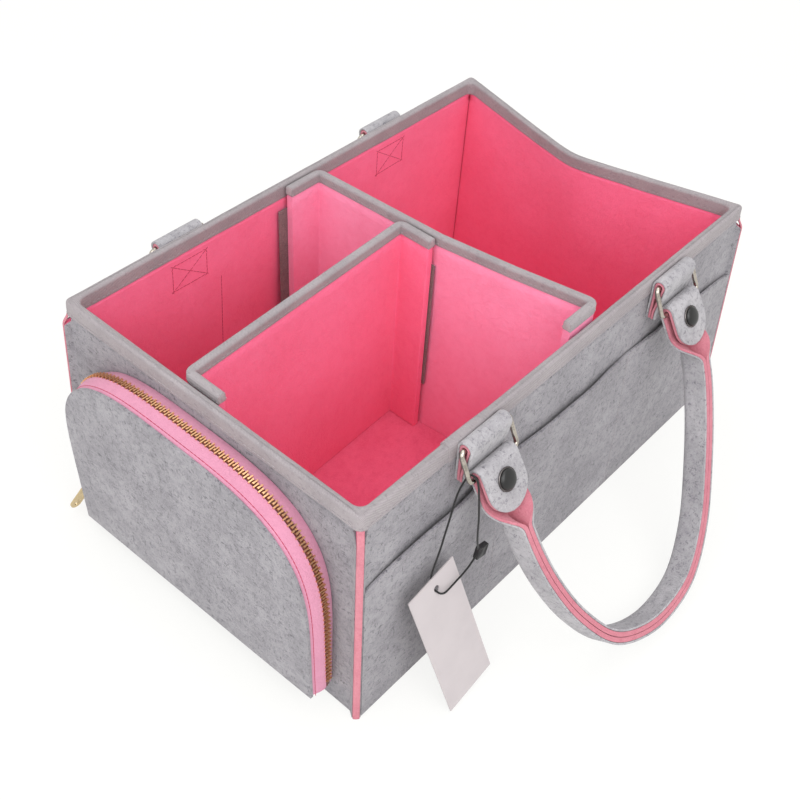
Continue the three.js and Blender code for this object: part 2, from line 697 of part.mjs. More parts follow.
/** A run of points with round corners, each with the normal to its left. */
function roundedPath(points, radius) {
  const path = [];
  points.forEach((corner, index) => {
    if (index === 0 || index === points.length - 1) {
      path.push(corner.clone());
      return;
    }
    const before = points[index - 1].clone().sub(corner).normalize();
    const after = points[index + 1].clone().sub(corner).normalize();
    const half = Math.acos(THREE.MathUtils.clamp(before.dot(after), -1, 1)) / 2;
    const setback = radius / Math.tan(half);
    const sharp = Math.PI / 2 - half;
    const start = corner.clone().addScaledVector(before, setback);
    const finish = corner.clone().addScaledVector(after, setback);
    const steps = Math.max(1, Math.round((sharp / (Math.PI / 4)) * (ARC_STEPS / 2)));
    const curve = new THREE.QuadraticBezierCurve(start, corner.clone(), finish);
    path.push(...curve.getPoints(steps));
  });
  return path.map((place, index) => {
    const before = path[Math.max(0, index - 1)];
    const after = path[Math.min(path.length - 1, index + 1)];
    const along = after.clone().sub(before).normalize();
    return { place, normal: new THREE.Vector2(-along.y, along.x) };
  });
}

/** Builds a divider along a plan path: its felt, and the tape folded over its top. */
function buildDivider(name, path, topAt) {
  const foot = floorTop + CLEAR;
  const levels = [
    { half: LINING, z: () => foot },
    { half: LINING, z: (place) => topAt(place) - DIVIDER_BINDING_DROP - LEDGE_DROP },
    { half: DIVIDER_RIM_HALF, z: (place) => topAt(place) - DIVIDER_BINDING_DROP - CLEAR },
    { half: DIVIDER_RIM_HALF, z: (place) => topAt(place) - TAPE - CLEAR },
  ];
  const face = (side) => levels.map(({ half, z }) => path.map(({ place, normal }) => {
    const spot = place.clone().addScaledVector(normal, side * half);
    return new THREE.Vector3(spot.x, spot.y, z(place));
  }));
  addPiece(`${name}_panel`, sheet(face(1), face(-1)), 'lining');
  const channel = DIVIDER_RIM_HALF + CLEAR;
  const profile = tapeSection(channel, -channel, -DIVIDER_BINDING_DROP, 0);
  const sections = path.map(({ place, normal }) => profile.map(([out, z]) => {
    const spot = place.clone().addScaledVector(normal, out);
    return new THREE.Vector3(spot.x, spot.y, topAt(place) + z);
  }));
  const flat = profile.map(([out, z]) => new THREE.Vector2(out, z));
  addPiece(`${name}_binding`, loft(sections, [flat, flat]), 'tape');
}

/** Builds a hook strip on a divider's flap. */
function buildHookStrip(name, centre, size) {
  const strip = addPiece(name, new THREE.BoxGeometry(size.x, size.y, size.z), 'hook');
  strip.position.copy(centre);
}

/** Builds the divider across the box and the partition in the zip end's half. */
function buildDividers() {
  const flapFace = halfWidth - rimInset - CLEAR - HOOK_STRIP - CLEAR;
  const flapY = flapFace - LINING;
  const stripY = flapFace + CLEAR + HOOK_STRIP / 2;
  const crossPoints = [
    new THREE.Vector2(CROSS_NEAR_X - CROSS_NEAR_FLAP, -flapY),
    new THREE.Vector2(CROSS_NEAR_X, -flapY),
    new THREE.Vector2(CROSS_BEND_X, -CROSS_BEND_Y),
    new THREE.Vector2(CROSS_MID_X, 0),
    new THREE.Vector2(CROSS_FAR_X, flapY),
    new THREE.Vector2(CROSS_FAR_X - CROSS_FAR_FLAP, flapY),
  ];
  const crossTop = (place) => {
    const share = (place.y + flapY) / (2 * flapY);
    return CROSS_NEAR_TOP + (CROSS_FAR_TOP - CROSS_NEAR_TOP) * share;
  };
  buildDivider('cross_divider', roundedPath(crossPoints, DIVIDER_CORNER_RADIUS), crossTop);
  const stripZ = HOOK_STRIP_FOOT + HOOK_STRIP_HEIGHT / 2;
  const along = new THREE.Vector3(HOOK_STRIP_WIDTH, HOOK_STRIP, HOOK_STRIP_HEIGHT);
  const nearX = CROSS_NEAR_X - CROSS_NEAR_FLAP / 2 - DIVIDER_CORNER_RADIUS / 2;
  const farX = CROSS_FAR_X - CROSS_FAR_FLAP + HOOK_STRIP_WIDTH / 2 - DIVIDER_BINDING_DROP;
  buildHookStrip('hook_strip_cross_near', new THREE.Vector3(nearX, -stripY, stripZ), along);
  buildHookStrip('hook_strip_cross_far', new THREE.Vector3(farX, stripY, stripZ), along);
  const frontFace = halfLength - rimInset - CLEAR - HOOK_STRIP - CLEAR;
  const frontX = LINING - frontFace;
  const overTape = DIVIDER_RIM_HALF + CLEAR + TAPE;
  const crossFace = CROSS_MID_X - overTape;
  const backX = crossFace - CLEAR - HOOK_STRIP - CLEAR - LINING;
  const partitionPoints = [
    new THREE.Vector2(frontX, PARTITION_FRONT_Y - PARTITION_FLAP),
    new THREE.Vector2(frontX, PARTITION_FRONT_Y),
    new THREE.Vector2(backX, PARTITION_BACK_Y),
    new THREE.Vector2(backX, PARTITION_BACK_Y - PARTITION_FLAP),
  ];
  const partitionTop = (place) => {
    const share = (place.x - frontX) / (backX - frontX);
    return PARTITION_FRONT_TOP + (PARTITION_BACK_TOP - PARTITION_FRONT_TOP) * share;
  };
  buildDivider('partition', roundedPath(partitionPoints, DIVIDER_CORNER_RADIUS), partitionTop);
  const square = new THREE.Vector3(HOOK_STRIP, HOOK_STRIP_WIDTH, HOOK_STRIP_HEIGHT);
  const frontStripX = -(frontFace + CLEAR + HOOK_STRIP / 2);
  const backStripX = backX + LINING + CLEAR + HOOK_STRIP / 2;
  const frontStripY = PARTITION_FRONT_Y - PARTITION_FLAP / 2 - DIVIDER_CORNER_RADIUS / 2;
  const backStripY = PARTITION_BACK_Y - PARTITION_FLAP / 2 - DIVIDER_CORNER_RADIUS / 2;
  buildHookStrip('hook_strip_partition_front', new THREE.Vector3(frontStripX, frontStripY, stripZ), square);
  buildHookStrip('hook_strip_partition_back', new THREE.Vector3(backStripX, backStripY, stripZ), square);
}

// Where a ring's upper bar runs: inside its felt loop, which stands off the binding.
const loopRoll = RING_WIRE_RADIUS + CLEAR + LOOP_LINING + CLEAR / 2;
const loopOuterRoll = loopRoll + CLEAR / 2 + LOOP_FELT;
const ringBarOut = rimOverhang + CLEAR + loopOuterRoll;

/** How far out a side wall's face stands at a height, with the flare of the body. */
function sideFace(z) {
  return Math.abs(dress(new THREE.Vector3(0, halfWidth, z)).y);
}

/** How one side's rings and handle hang: the bars' places, and the handle's ways down and in. */
function hangOf(sign, barDrop, handleTilt) {
  const barHeight = BODY_HEIGHT - barDrop;
  const barOut = sideFace(barHeight) + ringBarOut;
  return {
    sign,
    barHeight,
    barOut,
    lowOut: barOut + RING_HEIGHT * Math.sin(RING_TILT),
    lowHeight: barHeight - RING_HEIGHT * Math.cos(RING_TILT),
    down: new THREE.Vector3(0, Math.sin(handleTilt), -Math.cos(handleTilt)),
    inward: new THREE.Vector3(0, -Math.cos(handleTilt), -Math.sin(handleTilt)),
  };
}

/** The felt loop's middle line: up the wall, over the bar, and down again against itself. */
function loopPath(hang) {
  const backGap = CLEAR + LOOP_FELT + CLEAR / 2;
  const frontGap = backGap + CLEAR / 2 + LOOP_LINING + CLEAR + LOOP_LINING + CLEAR / 2;
  const overTape = Math.min(bindingFoot, hang.barHeight - CLEAR);
  const pinch = overTape - LOOP_PINCH;
  const back = [[LOOP_FOOT, 0], [pinch, 0], [overTape, rimOverhang]];
  const front = [[pinch, 0], [LOOP_FOOT, 0]];
  const path = back.map(([z, extra]) => new THREE.Vector2(sideFace(z) + backGap + extra, z));
  for (let step = 0; step <= ROLL_STEPS; step += 1) {
    const angle = Math.PI * (1 - step / ROLL_STEPS);
    const out = hang.barOut + loopRoll * Math.cos(angle);
    path.push(new THREE.Vector2(out, hang.barHeight + loopRoll * Math.sin(angle)));
  }
  path.push(...front.map(([z, extra]) => new THREE.Vector2(sideFace(z) + frontGap + extra, z)));
  return path;
}

/** A strip's layer between two offsets from a path across the side of the body. */
function stripLayer(path, centreX, sign, offsets) {
  const stations = path.map((place, index) => {
    const before = path[Math.max(0, index - 1)];
    const after = path[Math.min(path.length - 1, index + 1)];
    const along = after.clone().sub(before).normalize();
    return { place, normal: new THREE.Vector2(-along.y, along.x) };
  });
  const edges = [centreX - LOOP_WIDTH / 2, centreX + LOOP_WIDTH / 2];
  const face = (offset) => stations.map(({ place, normal }) => edges.map((x) => {
    const spot = place.clone().addScaledVector(normal, offset);
    return new THREE.Vector3(x, sign * spot.x, spot.y);
  }));
  return sheet(face(offsets[0]), face(offsets[1]));
}

/** Builds one ring loop, grey felt outside and pink felt against the bar. */
function buildLoop(name, centreX, hang) {
  const path = loopPath(hang);
  const half = CLEAR / 2;
  addPiece(`${name}_felt`, stripLayer(path, centreX, hang.sign, [half, half + LOOP_FELT]), 'felt');
  addPiece(`${name}_lining`, stripLayer(path, centreX, hang.sign, [-half - LOOP_LINING, -half]), 'lining');
}

/** The wire ring, flat in XY with its upper bar on the X axis. */
function ringGeometry() {
  const x = RING_HALF_WIDTH - RING_CORNER_RADIUS;
  const y = RING_HEIGHT / 2 - RING_CORNER_RADIUS;
  const corners = [[x, y, 0], [-x, y, 1], [-x, -y, 2], [x, -y, 3]];
  const sections = [];
  corners.forEach(([centreX, centreY, quarter]) => {
    for (let step = 0; step <= ROLL_STEPS / 2; step += 1) {
      const angle = (Math.PI / 2) * (quarter + step / (ROLL_STEPS / 2));
      const out = new THREE.Vector3(Math.cos(angle), Math.sin(angle), 0);
      const centre = new THREE.Vector3(centreX, centreY - RING_HEIGHT / 2, 0);
      centre.addScaledVector(out, RING_CORNER_RADIUS);
      sections.push(Array.from({ length: WIRE_SIDES }, (_, side) => {
        const round = (2 * Math.PI * side) / WIRE_SIDES;
        const spot = centre.clone().addScaledVector(out, RING_WIRE_RADIUS * Math.cos(round));
        spot.z += RING_WIRE_RADIUS * Math.sin(round);
        return spot;
      }));
    }
  });
  return loft(sections);
}

/** Builds one wire ring hanging in its loop. */
function buildRing(name, centreX, hang) {
  const ring = addPiece(name, ringGeometry(), 'chrome');
  ring.rotation.x = Math.PI / 2 + hang.sign * RING_TILT;
  ring.position.set(centreX, hang.sign * hang.barOut, hang.barHeight);
}

// How tightly the handle's strap rolls over a ring's lower bar.
const strapRoll = RING_WIRE_RADIUS + CLEAR + STRAP_LINING_PRESSED + CLEAR / 2;

/** A point of the handle from its place along X, down the handle and in toward the wall. */
function handlePoint(hang, x, down, inward) {
  const point = new THREE.Vector3(x, hang.lowOut, hang.lowHeight);
  return point.addScaledVector(hang.down, down).addScaledVector(hang.inward, inward);
}

// The hanging strap's course below the tabs: across as shares of half the span, down as shares of the drop.
const strapCourseShares = [
  [-1.01, 0.27], [-1, 0.385], [-0.96, 0.52], [-0.855, 0.7], [-0.645, 0.89], [-0.36, 0.98], [-0.1, 1],
  [0.18, 0.965], [0.46, 0.83], [0.7, 0.62], [0.87, 0.43], [0.965, 0.28],
];

/** How wide the strap's tongue is, half of it, at a distance below the bar. */
function tongueHalfWidth(down) {
  const share = Math.max(0, down - STRAP_TONGUE_SHOULDER) / (STRAP_TONGUE - STRAP_TONGUE_SHOULDER);
  return STRAP_END_HALF_WIDTH * Math.sqrt(Math.max(0.09, 1 - share ** 2));
}

/** Stations of one end of the strap: tongue, roll over the bar, and the flat run behind it. */
function strapEnd(hang, centreX) {
  const stations = [];
  const outFace = hang.inward.clone().negate();
  const tongueShares = [1, 0.93, 0.8, 0.64, STRAP_TONGUE_SHOULDER / STRAP_TONGUE];
  tongueShares.forEach((share) => {
    const down = STRAP_TONGUE * share;
    stations.push({
      place: handlePoint(hang, centreX, down, -strapRoll),
      normal: outFace,
      fold: 0,
      half: tongueHalfWidth(down),
    });
  });
  for (let step = 0; step <= ROLL_STEPS; step += 1) {
    const angle = (Math.PI * step) / ROLL_STEPS;
    const normal = outFace.clone().multiplyScalar(Math.cos(angle));
    normal.addScaledVector(hang.down, -Math.sin(angle));
    const place = handlePoint(hang, centreX, -strapRoll * Math.sin(angle), -strapRoll * Math.cos(angle));
    stations.push({ place, normal, fold: 0, half: STRAP_END_HALF_WIDTH });
  }
  const place = handlePoint(hang, centreX, STRAP_FLAT_RUN, strapRoll);
  stations.push({ place, normal: hang.inward.clone(), fold: 0, half: STRAP_END_HALF_WIDTH });
  return stations;
}

/** Stations of the hanging arc, where the strap folds lengthwise and opens again. */
function strapArc(hang) {
  const middle = (LOOP_LEFT_X + LOOP_RIGHT_X) / 2;
  const halfSpan = (LOOP_RIGHT_X - LOOP_LEFT_X) / 2;
  const course = strapCourseShares.map(([across, down]) => new THREE.Vector3(
    middle + halfSpan * across, HANDLE_DROP * down, 0));
  const start = new THREE.Vector3(LOOP_LEFT_X, STRAP_FLAT_RUN, 0);
  const finish = new THREE.Vector3(LOOP_RIGHT_X, STRAP_FLAT_RUN, 0);
  const curve = new THREE.CatmullRomCurve3([start, ...course, finish], false, 'centripetal');
  const stations = [];
  const length = curve.getLength();
  const foldRun = HANDLE_FOLD_DONE - STRAP_FLAT_RUN;
  const runs = [];
  for (let step = 1; step <= STRAP_FOLD_STEPS; step += 1) {
    runs.push((foldRun * step) / STRAP_FOLD_STEPS);
  }
  for (let step = 1; step < STRAP_ARC_STEPS; step += 1) {
    runs.push(foldRun + ((length - 2 * foldRun) * step) / STRAP_ARC_STEPS);
  }
  for (let step = 0; step < STRAP_FOLD_STEPS; step += 1) {
    runs.push(length - foldRun + (foldRun * step) / STRAP_FOLD_STEPS);
  }
  runs.forEach((run) => {
    const share = run / length;
    const spot = curve.getPointAt(share);
    const fromEnd = Math.min(run, length - run);
    const folded = THREE.MathUtils.smoothstep(fromEnd, 0, foldRun);
    const place = handlePoint(hang, spot.x, spot.y, strapRoll + STRAP_SHIFT * folded);
    const half = THREE.MathUtils.lerp(STRAP_END_HALF_WIDTH, STRAP_HALF_WIDTH, folded);
    stations.push({ place, normal: hang.inward.clone(), fold: (Math.PI / 2) * folded, half });
  });
  return stations;
}

/** All the stations of a handle, from one tongue's tip to the other's. */
function strapStations(hang) {
  const right = strapEnd(hang, LOOP_RIGHT_X).reverse();
  const stations = [...strapEnd(hang, LOOP_LEFT_X), ...strapArc(hang), ...right];
  return stations.map((station, index) => {
    const before = stations[Math.max(0, index - 1)].place;
    const after = stations[Math.min(stations.length - 1, index + 1)].place;
    const along = after.clone().sub(before).normalize();
    const across = new THREE.Vector3().crossVectors(station.normal, along).normalize();
    return { ...station, across };
  });
}

/** The points across a strap's layer at one station, at an offset toward its grey side. */
function strapRow(station, offset, sign) {
  const crease = Math.max(STRAP_FOLD_RADIUS * station.fold, STRAP_FLAT_CREASE);
  const radius = station.fold > 0 ? crease / station.fold : 0;
  const leg = Math.max(station.half, crease) - crease;
  const samples = [[-1, 1], [-1, 0], [-0.5, 0], [0, 0], [0.5, 0], [1, 0], [1, 1]];
  return samples.map(([turnShare, legShare]) => {
    const angle = station.fold * turnShare;
    const side = Math.sign(turnShare);
    const flat = station.fold > 0 ? radius * Math.sin(angle) : crease * turnShare;
    const sink = station.fold > 0 ? radius * (Math.cos(angle) - 1) : 0;
    const across = flat + side * leg * legShare * Math.cos(angle) + offset * Math.sin(angle);
    const inward = sink - leg * legShare * Math.sin(Math.abs(angle)) + offset * Math.cos(angle);
    const spot = station.place.clone().addScaledVector(station.across, across);
    spot.addScaledVector(station.normal, inward);
    spot.y *= sign;
    return spot;
  });
}

/** How thick the strap's lining is at a station: pressed where flat, fuller where folded. */
function liningAt(station) {
  return THREE.MathUtils.lerp(STRAP_LINING_PRESSED, STRAP_LINING, station.fold / (Math.PI / 2));
}

/** Builds one handle: grey felt outside, pink felt inside, and a snap on each tongue. */
function buildHandle(name, hang) {
  const stations = strapStations(hang);
  const sign = hang.sign;
  const half = CLEAR / 2;
  const layer = (inner, outer) => sheet(
    stations.map((station) => strapRow(station, outer(station), sign)),
    stations.map((station) => strapRow(station, inner(station), sign)),
  );
  addPiece(`handle_${name}_felt`, layer(() => half, () => half + STRAP_FELT), 'felt');
  addPiece(`handle_${name}_lining`, layer((station) => -half - liningAt(station), () => -half), 'lining');
  [['left', LOOP_LEFT_X], ['right', LOOP_RIGHT_X]].forEach(([end, centreX]) => {
    const face = strapRoll + half + STRAP_FELT + CLEAR;
    const outward = hang.inward.clone().negate();
    outward.y *= sign;
    const turn = new THREE.Quaternion().setFromUnitVectors(new THREE.Vector3(0, 1, 0), outward);
    const seat = handlePoint(hang, centreX, SNAP_PLACE, -face);
    seat.y *= sign;
    const rim = addPiece(`snap_rim_${name}_${end}`, snapRimGeometry(), 'chrome');
    rim.quaternion.copy(turn);
    rim.position.copy(seat);
    const cap = addPiece(`snap_cap_${name}_${end}`, snapCapGeometry(), 'snap');
    cap.quaternion.copy(turn);
    cap.position.copy(seat).addScaledVector(outward, SNAP_RIM_RISE + CLEAR);
  });
}

/** The silver rim under a snap's cap, turned about +Y. */
function snapRimGeometry() {
  const edge = SNAP_RIM_RISE / 3;
  const profile = [[0, 0], [SNAP_RIM_RADIUS, 0], [SNAP_RIM_RADIUS, SNAP_RIM_RISE - edge],
    [SNAP_RIM_RADIUS - edge, SNAP_RIM_RISE], [0, SNAP_RIM_RISE]];
  return new THREE.LatheGeometry(profile.map(([x, y]) => new THREE.Vector2(x, y)), SNAP_SIDES);
}

/** The black domed cap of a snap, turned about +Y. */
function snapCapGeometry() {
  const profile = [new THREE.Vector2(0, 0), new THREE.Vector2(SNAP_RADIUS, 0)];
  const domeShares = [0.2, 0.4, 0.6, 0.8];
  domeShares.forEach((share) => {
    const angle = (Math.PI / 2) * share;
    profile.push(new THREE.Vector2(SNAP_RADIUS * Math.cos(angle), SNAP_RISE * Math.sin(angle)));
  });
  profile.push(new THREE.Vector2(0, SNAP_RISE));
  return new THREE.LatheGeometry(profile, SNAP_SIDES);
}

/** The blank card, its top edge's middle at the origin, hanging down -Z. */
function tagGeometry() {
  const shape = new THREE.Shape();
  shape.moveTo(-TAG_WIDTH / 2, 0);
  shape.lineTo(-TAG_WIDTH / 2, -TAG_HEIGHT);
  shape.lineTo(TAG_WIDTH / 2, -TAG_HEIGHT);
  shape.lineTo(TAG_WIDTH / 2, 0);
  shape.closePath();
  const hole = new THREE.Path();
  hole.absarc(TAG_HOLE_ACROSS, -TAG_HOLE_DOWN, TAG_HOLE_RADIUS, 0, Math.PI * 2);
  shape.holes.push(hole);
  const card = new THREE.ExtrudeGeometry(shape, {
    depth: TAG_THICKNESS, bevelEnabled: false, curveSegments: ARC_STEPS * 2,
  });
  card.rotateX(Math.PI / 2);
  return card;
}

// The cord's route, chosen by hand: out of the seal, through the card's hole, up behind the ring's
// corner, over its lower bar and down in front to the seal again.
const cordRoute = [
  [-118.9, -140, 84.8], [-124, -139.8, 82.2], [-130, -139.6, 80.4], [-136, -139.8, 79.8],
  [-140.8, -140, 80.6], [-143.6, -139, 82.3], [-144.6, -136.2, 83.6], [-144.6, -133.6, 85.4],
  [-143.6, -131.9, 89.5], [-141.8, -131.5, 95.5], [-139.2, -131.4, 103], [-136.4, -131.2, 110.5],
  [-133.3, -130.6, 118.5], [-129.1, -129.7, 127.7], [-124.7, -128.4, 136], [-121.4, -127.7, 141],
  [-118.3, -127.7, 144.9], [-116, -128.3, 148.5], [-115.2, -129.8, 151], [-115.2, -132.2, 151.6],
  [-115.2, -134.4, 150.3], [-115.2, -135.5, 147.5], [-115.2, -136.6, 142], [-115.3, -137.8, 134],
  [-115.4, -139.2, 122], [-115.2, -139.8, 110], [-114.2, -140, 101], [-112.9, -140, 96],
  [-112.5, -140, 93.6],
];

/** Builds the hang tag on its cord, with the seal that joins the cord's ends. */
function buildTag() {
  const card = addPiece('hang_tag', tagGeometry(), 'card');
  card.rotation.set(TAG_LEAN, TAG_ROLL, TAG_TURN, 'ZXY');
  card.position.set(TAG_TOP_X, TAG_TOP_Y, TAG_TOP_Z);
  const route = new THREE.CatmullRomCurve3(cordRoute.map((point) => new THREE.Vector3(...point)));
  const section = new THREE.Shape();
  for (let side = 0; side < CORD_SIDES; side += 1) {
    const angle = (2 * Math.PI * side) / CORD_SIDES;
    const corner = [CORD_RADIUS * Math.cos(angle), CORD_RADIUS * Math.sin(angle)];
    section[side === 0 ? 'moveTo' : 'lineTo'](...corner);
  }
  section.closePath();
  addPiece('tag_cord', new THREE.ExtrudeGeometry(section, { steps: CORD_STEPS, extrudePath: route }), 'cord');
  const block = new THREE.ExtrudeGeometry(roundedRectangle(SEAL_SIZE, SEAL_SIZE, SEAL_CORNER), {
    depth: SEAL_THICKNESS, bevelEnabled: false, curveSegments: 2,
  });
  block.translate(0, 0, -SEAL_THICKNESS / 2);
  block.rotateX(Math.PI / 2);
  addPiece('tag_seal', block, 'cord').position.set(SEAL_X, SEAL_Y, SEAL_Z);
}

buildFloor();
buildWalls();
buildRimBinding();
buildPocket('side_pocket_near', NEAR);
buildPocket('side_pocket_far', FAR);
buildPouch();
buildSlider();
buildDividers();
const hangs = {
  near: hangOf(NEAR, NEAR_BAR_DROP, NEAR_HANDLE_TILT),
  far: hangOf(FAR, FAR_BAR_DROP, FAR_HANDLE_TILT),
};
Object.entries(hangs).forEach(([name, hang]) => {
  buildLoop(`loop_${name}_left`, LOOP_LEFT_X, hang);
  buildLoop(`loop_${name}_right`, LOOP_RIGHT_X, hang);
  buildRing(`ring_${name}_left`, LOOP_LEFT_X, hang);
  buildRing(`ring_${name}_right`, LOOP_RIGHT_X, hang);
  buildHandle(name, hang);
});
buildTag();

export default group;
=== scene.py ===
"""Looks for a soft felt nursery caddy: felt walls and pockets, lift-out dividers, strap handles and a zip pouch.

Sizes are in millimetres in the maker's classes and turned to metres where a mesh is made. X runs along the
length, from the zip pouch to the plain end; Y runs from the tag side to the far side; Z is up from the floor.
"""

import json
import logging
import math
from dataclasses import dataclass, field
from enum import Enum
from typing import Callable, Sequence

import bpy
import numpy as np
from mathutils import Matrix, Vector

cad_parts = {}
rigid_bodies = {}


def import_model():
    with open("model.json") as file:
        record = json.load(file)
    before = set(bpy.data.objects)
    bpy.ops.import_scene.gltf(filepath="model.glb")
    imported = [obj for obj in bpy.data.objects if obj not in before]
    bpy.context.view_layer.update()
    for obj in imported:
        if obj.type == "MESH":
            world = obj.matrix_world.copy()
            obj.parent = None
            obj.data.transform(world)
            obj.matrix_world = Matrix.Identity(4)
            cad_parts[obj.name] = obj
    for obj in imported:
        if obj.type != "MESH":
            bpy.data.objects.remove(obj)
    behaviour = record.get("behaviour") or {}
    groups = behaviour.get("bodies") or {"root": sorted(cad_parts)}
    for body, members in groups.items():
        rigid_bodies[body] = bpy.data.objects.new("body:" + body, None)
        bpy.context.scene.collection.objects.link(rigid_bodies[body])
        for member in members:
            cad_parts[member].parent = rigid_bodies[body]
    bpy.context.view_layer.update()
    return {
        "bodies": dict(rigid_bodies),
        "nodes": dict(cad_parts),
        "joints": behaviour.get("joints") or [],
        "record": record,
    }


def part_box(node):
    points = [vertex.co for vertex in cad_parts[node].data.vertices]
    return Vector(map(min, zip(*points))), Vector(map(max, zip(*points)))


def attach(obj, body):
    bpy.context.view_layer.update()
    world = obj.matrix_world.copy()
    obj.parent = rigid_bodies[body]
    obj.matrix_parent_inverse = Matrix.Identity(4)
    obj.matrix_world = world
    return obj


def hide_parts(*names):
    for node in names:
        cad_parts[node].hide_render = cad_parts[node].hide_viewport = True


Array = np.ndarray
Colour = tuple[float, float, float]
MM = 0.001
IMAGE_SIDE = 800
LOG = logging.getLogger("caddy")


class Body(Enum):
    """The CAD bodies that pieces ride on."""

    CADDY = "caddy"
    CROSS = "cross_divider"
    PARTITION = "partition"
    LID = "pouch_lid"
    TAG = "tag"


class Slot(Enum):
    """The record's material slots."""

    FELT = "grey_felt"
    LINING = "pink_lining"
    GUSSET = "pink_gusset"
    TAPE = "grey_tape"
    HOOK = "hook_strip"
    RING = "ring_chrome"
    SNAP = "snap_black"
    SNAP_RIM = "snap_rim"
    COPPER = "zip_copper"
    GOLD = "zip_gold"
    CARD = "tag_card"
    CORD = "tag_cord"
    SEAL = "tag_seal"


# ---------------------------------------------------------------- shader expressions


class Sig:
    """A shader socket that can stand in an arithmetic expression."""

    def __init__(self, sheet: "ShaderSheet", socket: bpy.types.NodeSocket) -> None:
        """Wraps a socket of a material that is being written."""
        self.sheet = sheet
        self.socket = socket

    def _math(self, operation: str, *values: "Sig | float") -> "Sig":
        """Adds one Math node.

        Args:
            operation: Blender's name of the operation.
            values: its inputs, in order.

        Returns:
            The node's result.
        """
        return self.sheet.node("ShaderNodeMath", {"operation": operation}, dict(enumerate(values)))

    def __add__(self, other: "Sig | float") -> "Sig":
        """The sum."""
        return self._math("ADD", self, other)

    def __sub__(self, other: "Sig | float") -> "Sig":
        """The difference."""
        return self._math("SUBTRACT", self, other)

    def __mul__(self, other: "Sig | float") -> "Sig":
        """The product."""
        return self._math("MULTIPLY", self, other)

    def wave(self) -> "Sig":
        """The sine."""
        return self._math("SINE", self)

    def highest(self, other: "Sig | float") -> "Sig":
        """The larger of two values."""
        return self._math("MAXIMUM", self, other)


class ShaderSheet:
    """One tree of shader nodes while it is being written."""

    def __init__(self, name: str, world: bool = False) -> None:
        """Starts an empty material, or an empty world."""
        self.owner = (bpy.data.worlds if world else bpy.data.materials).new(name)
        self.owner.use_nodes = True
        self.tree = self.owner.node_tree
        self.tree.nodes.clear()

    def node(self, kind: str, settings: dict | None = None, inputs: dict | None = None, out: int | str = 0) -> Sig:
        """Adds a node.

        Args:
            kind: the node's type.
            settings: properties set before the inputs.
            inputs: values or signals, by socket name or number.
            out: the output to return.

        Returns:
            The chosen output.
        """
        made = self.tree.nodes.new(kind)
        for key, value in (settings or {}).items():
            setattr(made, key, value)
        for key, value in (inputs or {}).items():
            if isinstance(value, Sig):
                self.tree.links.new(value.socket, made.inputs[key])
            else:
                made.inputs[key].default_value = value
        return Sig(self, made.outputs[out])

    def place(self) -> Sig:
        """The point on the piece, in object coordinates."""
        return self.node("ShaderNodeTexCoord", out="Object")

    def uv(self, axis: str) -> Sig:
        """One coordinate of the piece's own map, in metres along or across it."""
        coordinates = self.node("ShaderNodeTexCoord", out="UV")
        return self.node("ShaderNodeSeparateXYZ", inputs={0: coordinates}, out=axis)

    def noise(self, scale: float, detail: float = 2.0, stretch: Sequence[float] | None = None,
              turn: Sequence[float] = (0, 0, 0), rough: float = 0.5) -> Sig:
        """Noise over the piece.

        Args:
            scale: features per metre.
            detail: octaves.
            stretch: how much finer it is along each axis.
            turn: the pattern's turn in radians.
            rough: the octaves' fall-off.

        Returns:
            The noise, from 0 to 1.
        """
        vector = self.place()
        if stretch is not None:
            settings = {"vector_type": "POINT"}
            vector = self.node("ShaderNodeMapping", settings,
                               {"Vector": vector, "Rotation": tuple(turn), "Scale": tuple(stretch)})
        inputs = {"Vector": vector, "Scale": scale, "Detail": detail, "Roughness": rough}
        return self.node("ShaderNodeTexNoise", {"noise_dimensions": "3D"}, inputs)

    def between(self, value: Sig, low: float, high: float, to_low: float = 0.0, to_high: float = 1.0) -> Sig:
        """A value moved smoothly from one range to another and clamped.

        Args:
            value: what is moved.
            low: where the range starts.
            high: where the range ends.
            to_low: the result at the start.
            to_high: the result at the end.

        Returns:
            The moved value.
        """
        settings = {"interpolation_type": "SMOOTHSTEP"}
        inputs = {0: value, 1: low, 2: high, 3: to_low, 4: to_high}
        return self.node("ShaderNodeMapRange", settings, inputs)

    def mix(self, factor: Sig | float, first: Sig | tuple, second: Sig | tuple) -> Sig:
        """Two colours mixed.

        Args:
            factor: how much of the second.
            first: a colour.
            second: a colour.

        Returns:
            The mixed colour.
        """
        settings = {"data_type": "RGBA", "blend_type": "MIX", "clamp_factor": True}
        return self.node("ShaderNodeMix", settings, {0: factor, 6: first, 7: second}, out=2)

    def bump(self, height: Sig, depth: float, strength: float = 1.0) -> Sig:
        """A normal pushed about by a height.

        Args:
            height: the height, from 0 to 1.
            depth: how deep it is, in millimetres.
            strength: how much of it shows.

        Returns:
            The normal.
        """
        inputs = {"Height": height, "Distance": depth * MM, "Strength": strength}
        return self.node("ShaderNodeBump", {}, inputs, out="Normal")

    def seen(self) -> Sig:
        """1 where the background is looked at, straight, in a reflection or through glass."""
        camera, glossy, clear = (self.node("ShaderNodeLightPath", out=f"Is {ray} Ray")
                                 for ray in ("Camera", "Glossy", "Transmission"))
        return camera.highest(glossy).highest(clear)

    def finish(self, inputs: dict) -> bpy.types.Material:
        """Ends a material with a Principled shader.

        Args:
            inputs: the shader's sockets, by name.

        Returns:
            The material.
        """
        return self.close(self.node("ShaderNodeBsdfPrincipled", {}, inputs, out="BSDF"))

    def close(self, shader: Sig) -> bpy.types.Material | bpy.types.World:
        """Ends the tree with its output.

        Args:
            shader: what it shows.

        Returns:
            The material or the world.
        """
        kind = "World" if isinstance(self.owner, bpy.types.World) else "Material"
        output = self.tree.nodes.new(f"ShaderNodeOutput{kind}")
        self.tree.links.new(shader.socket, output.inputs["Surface"])
        return self.owner


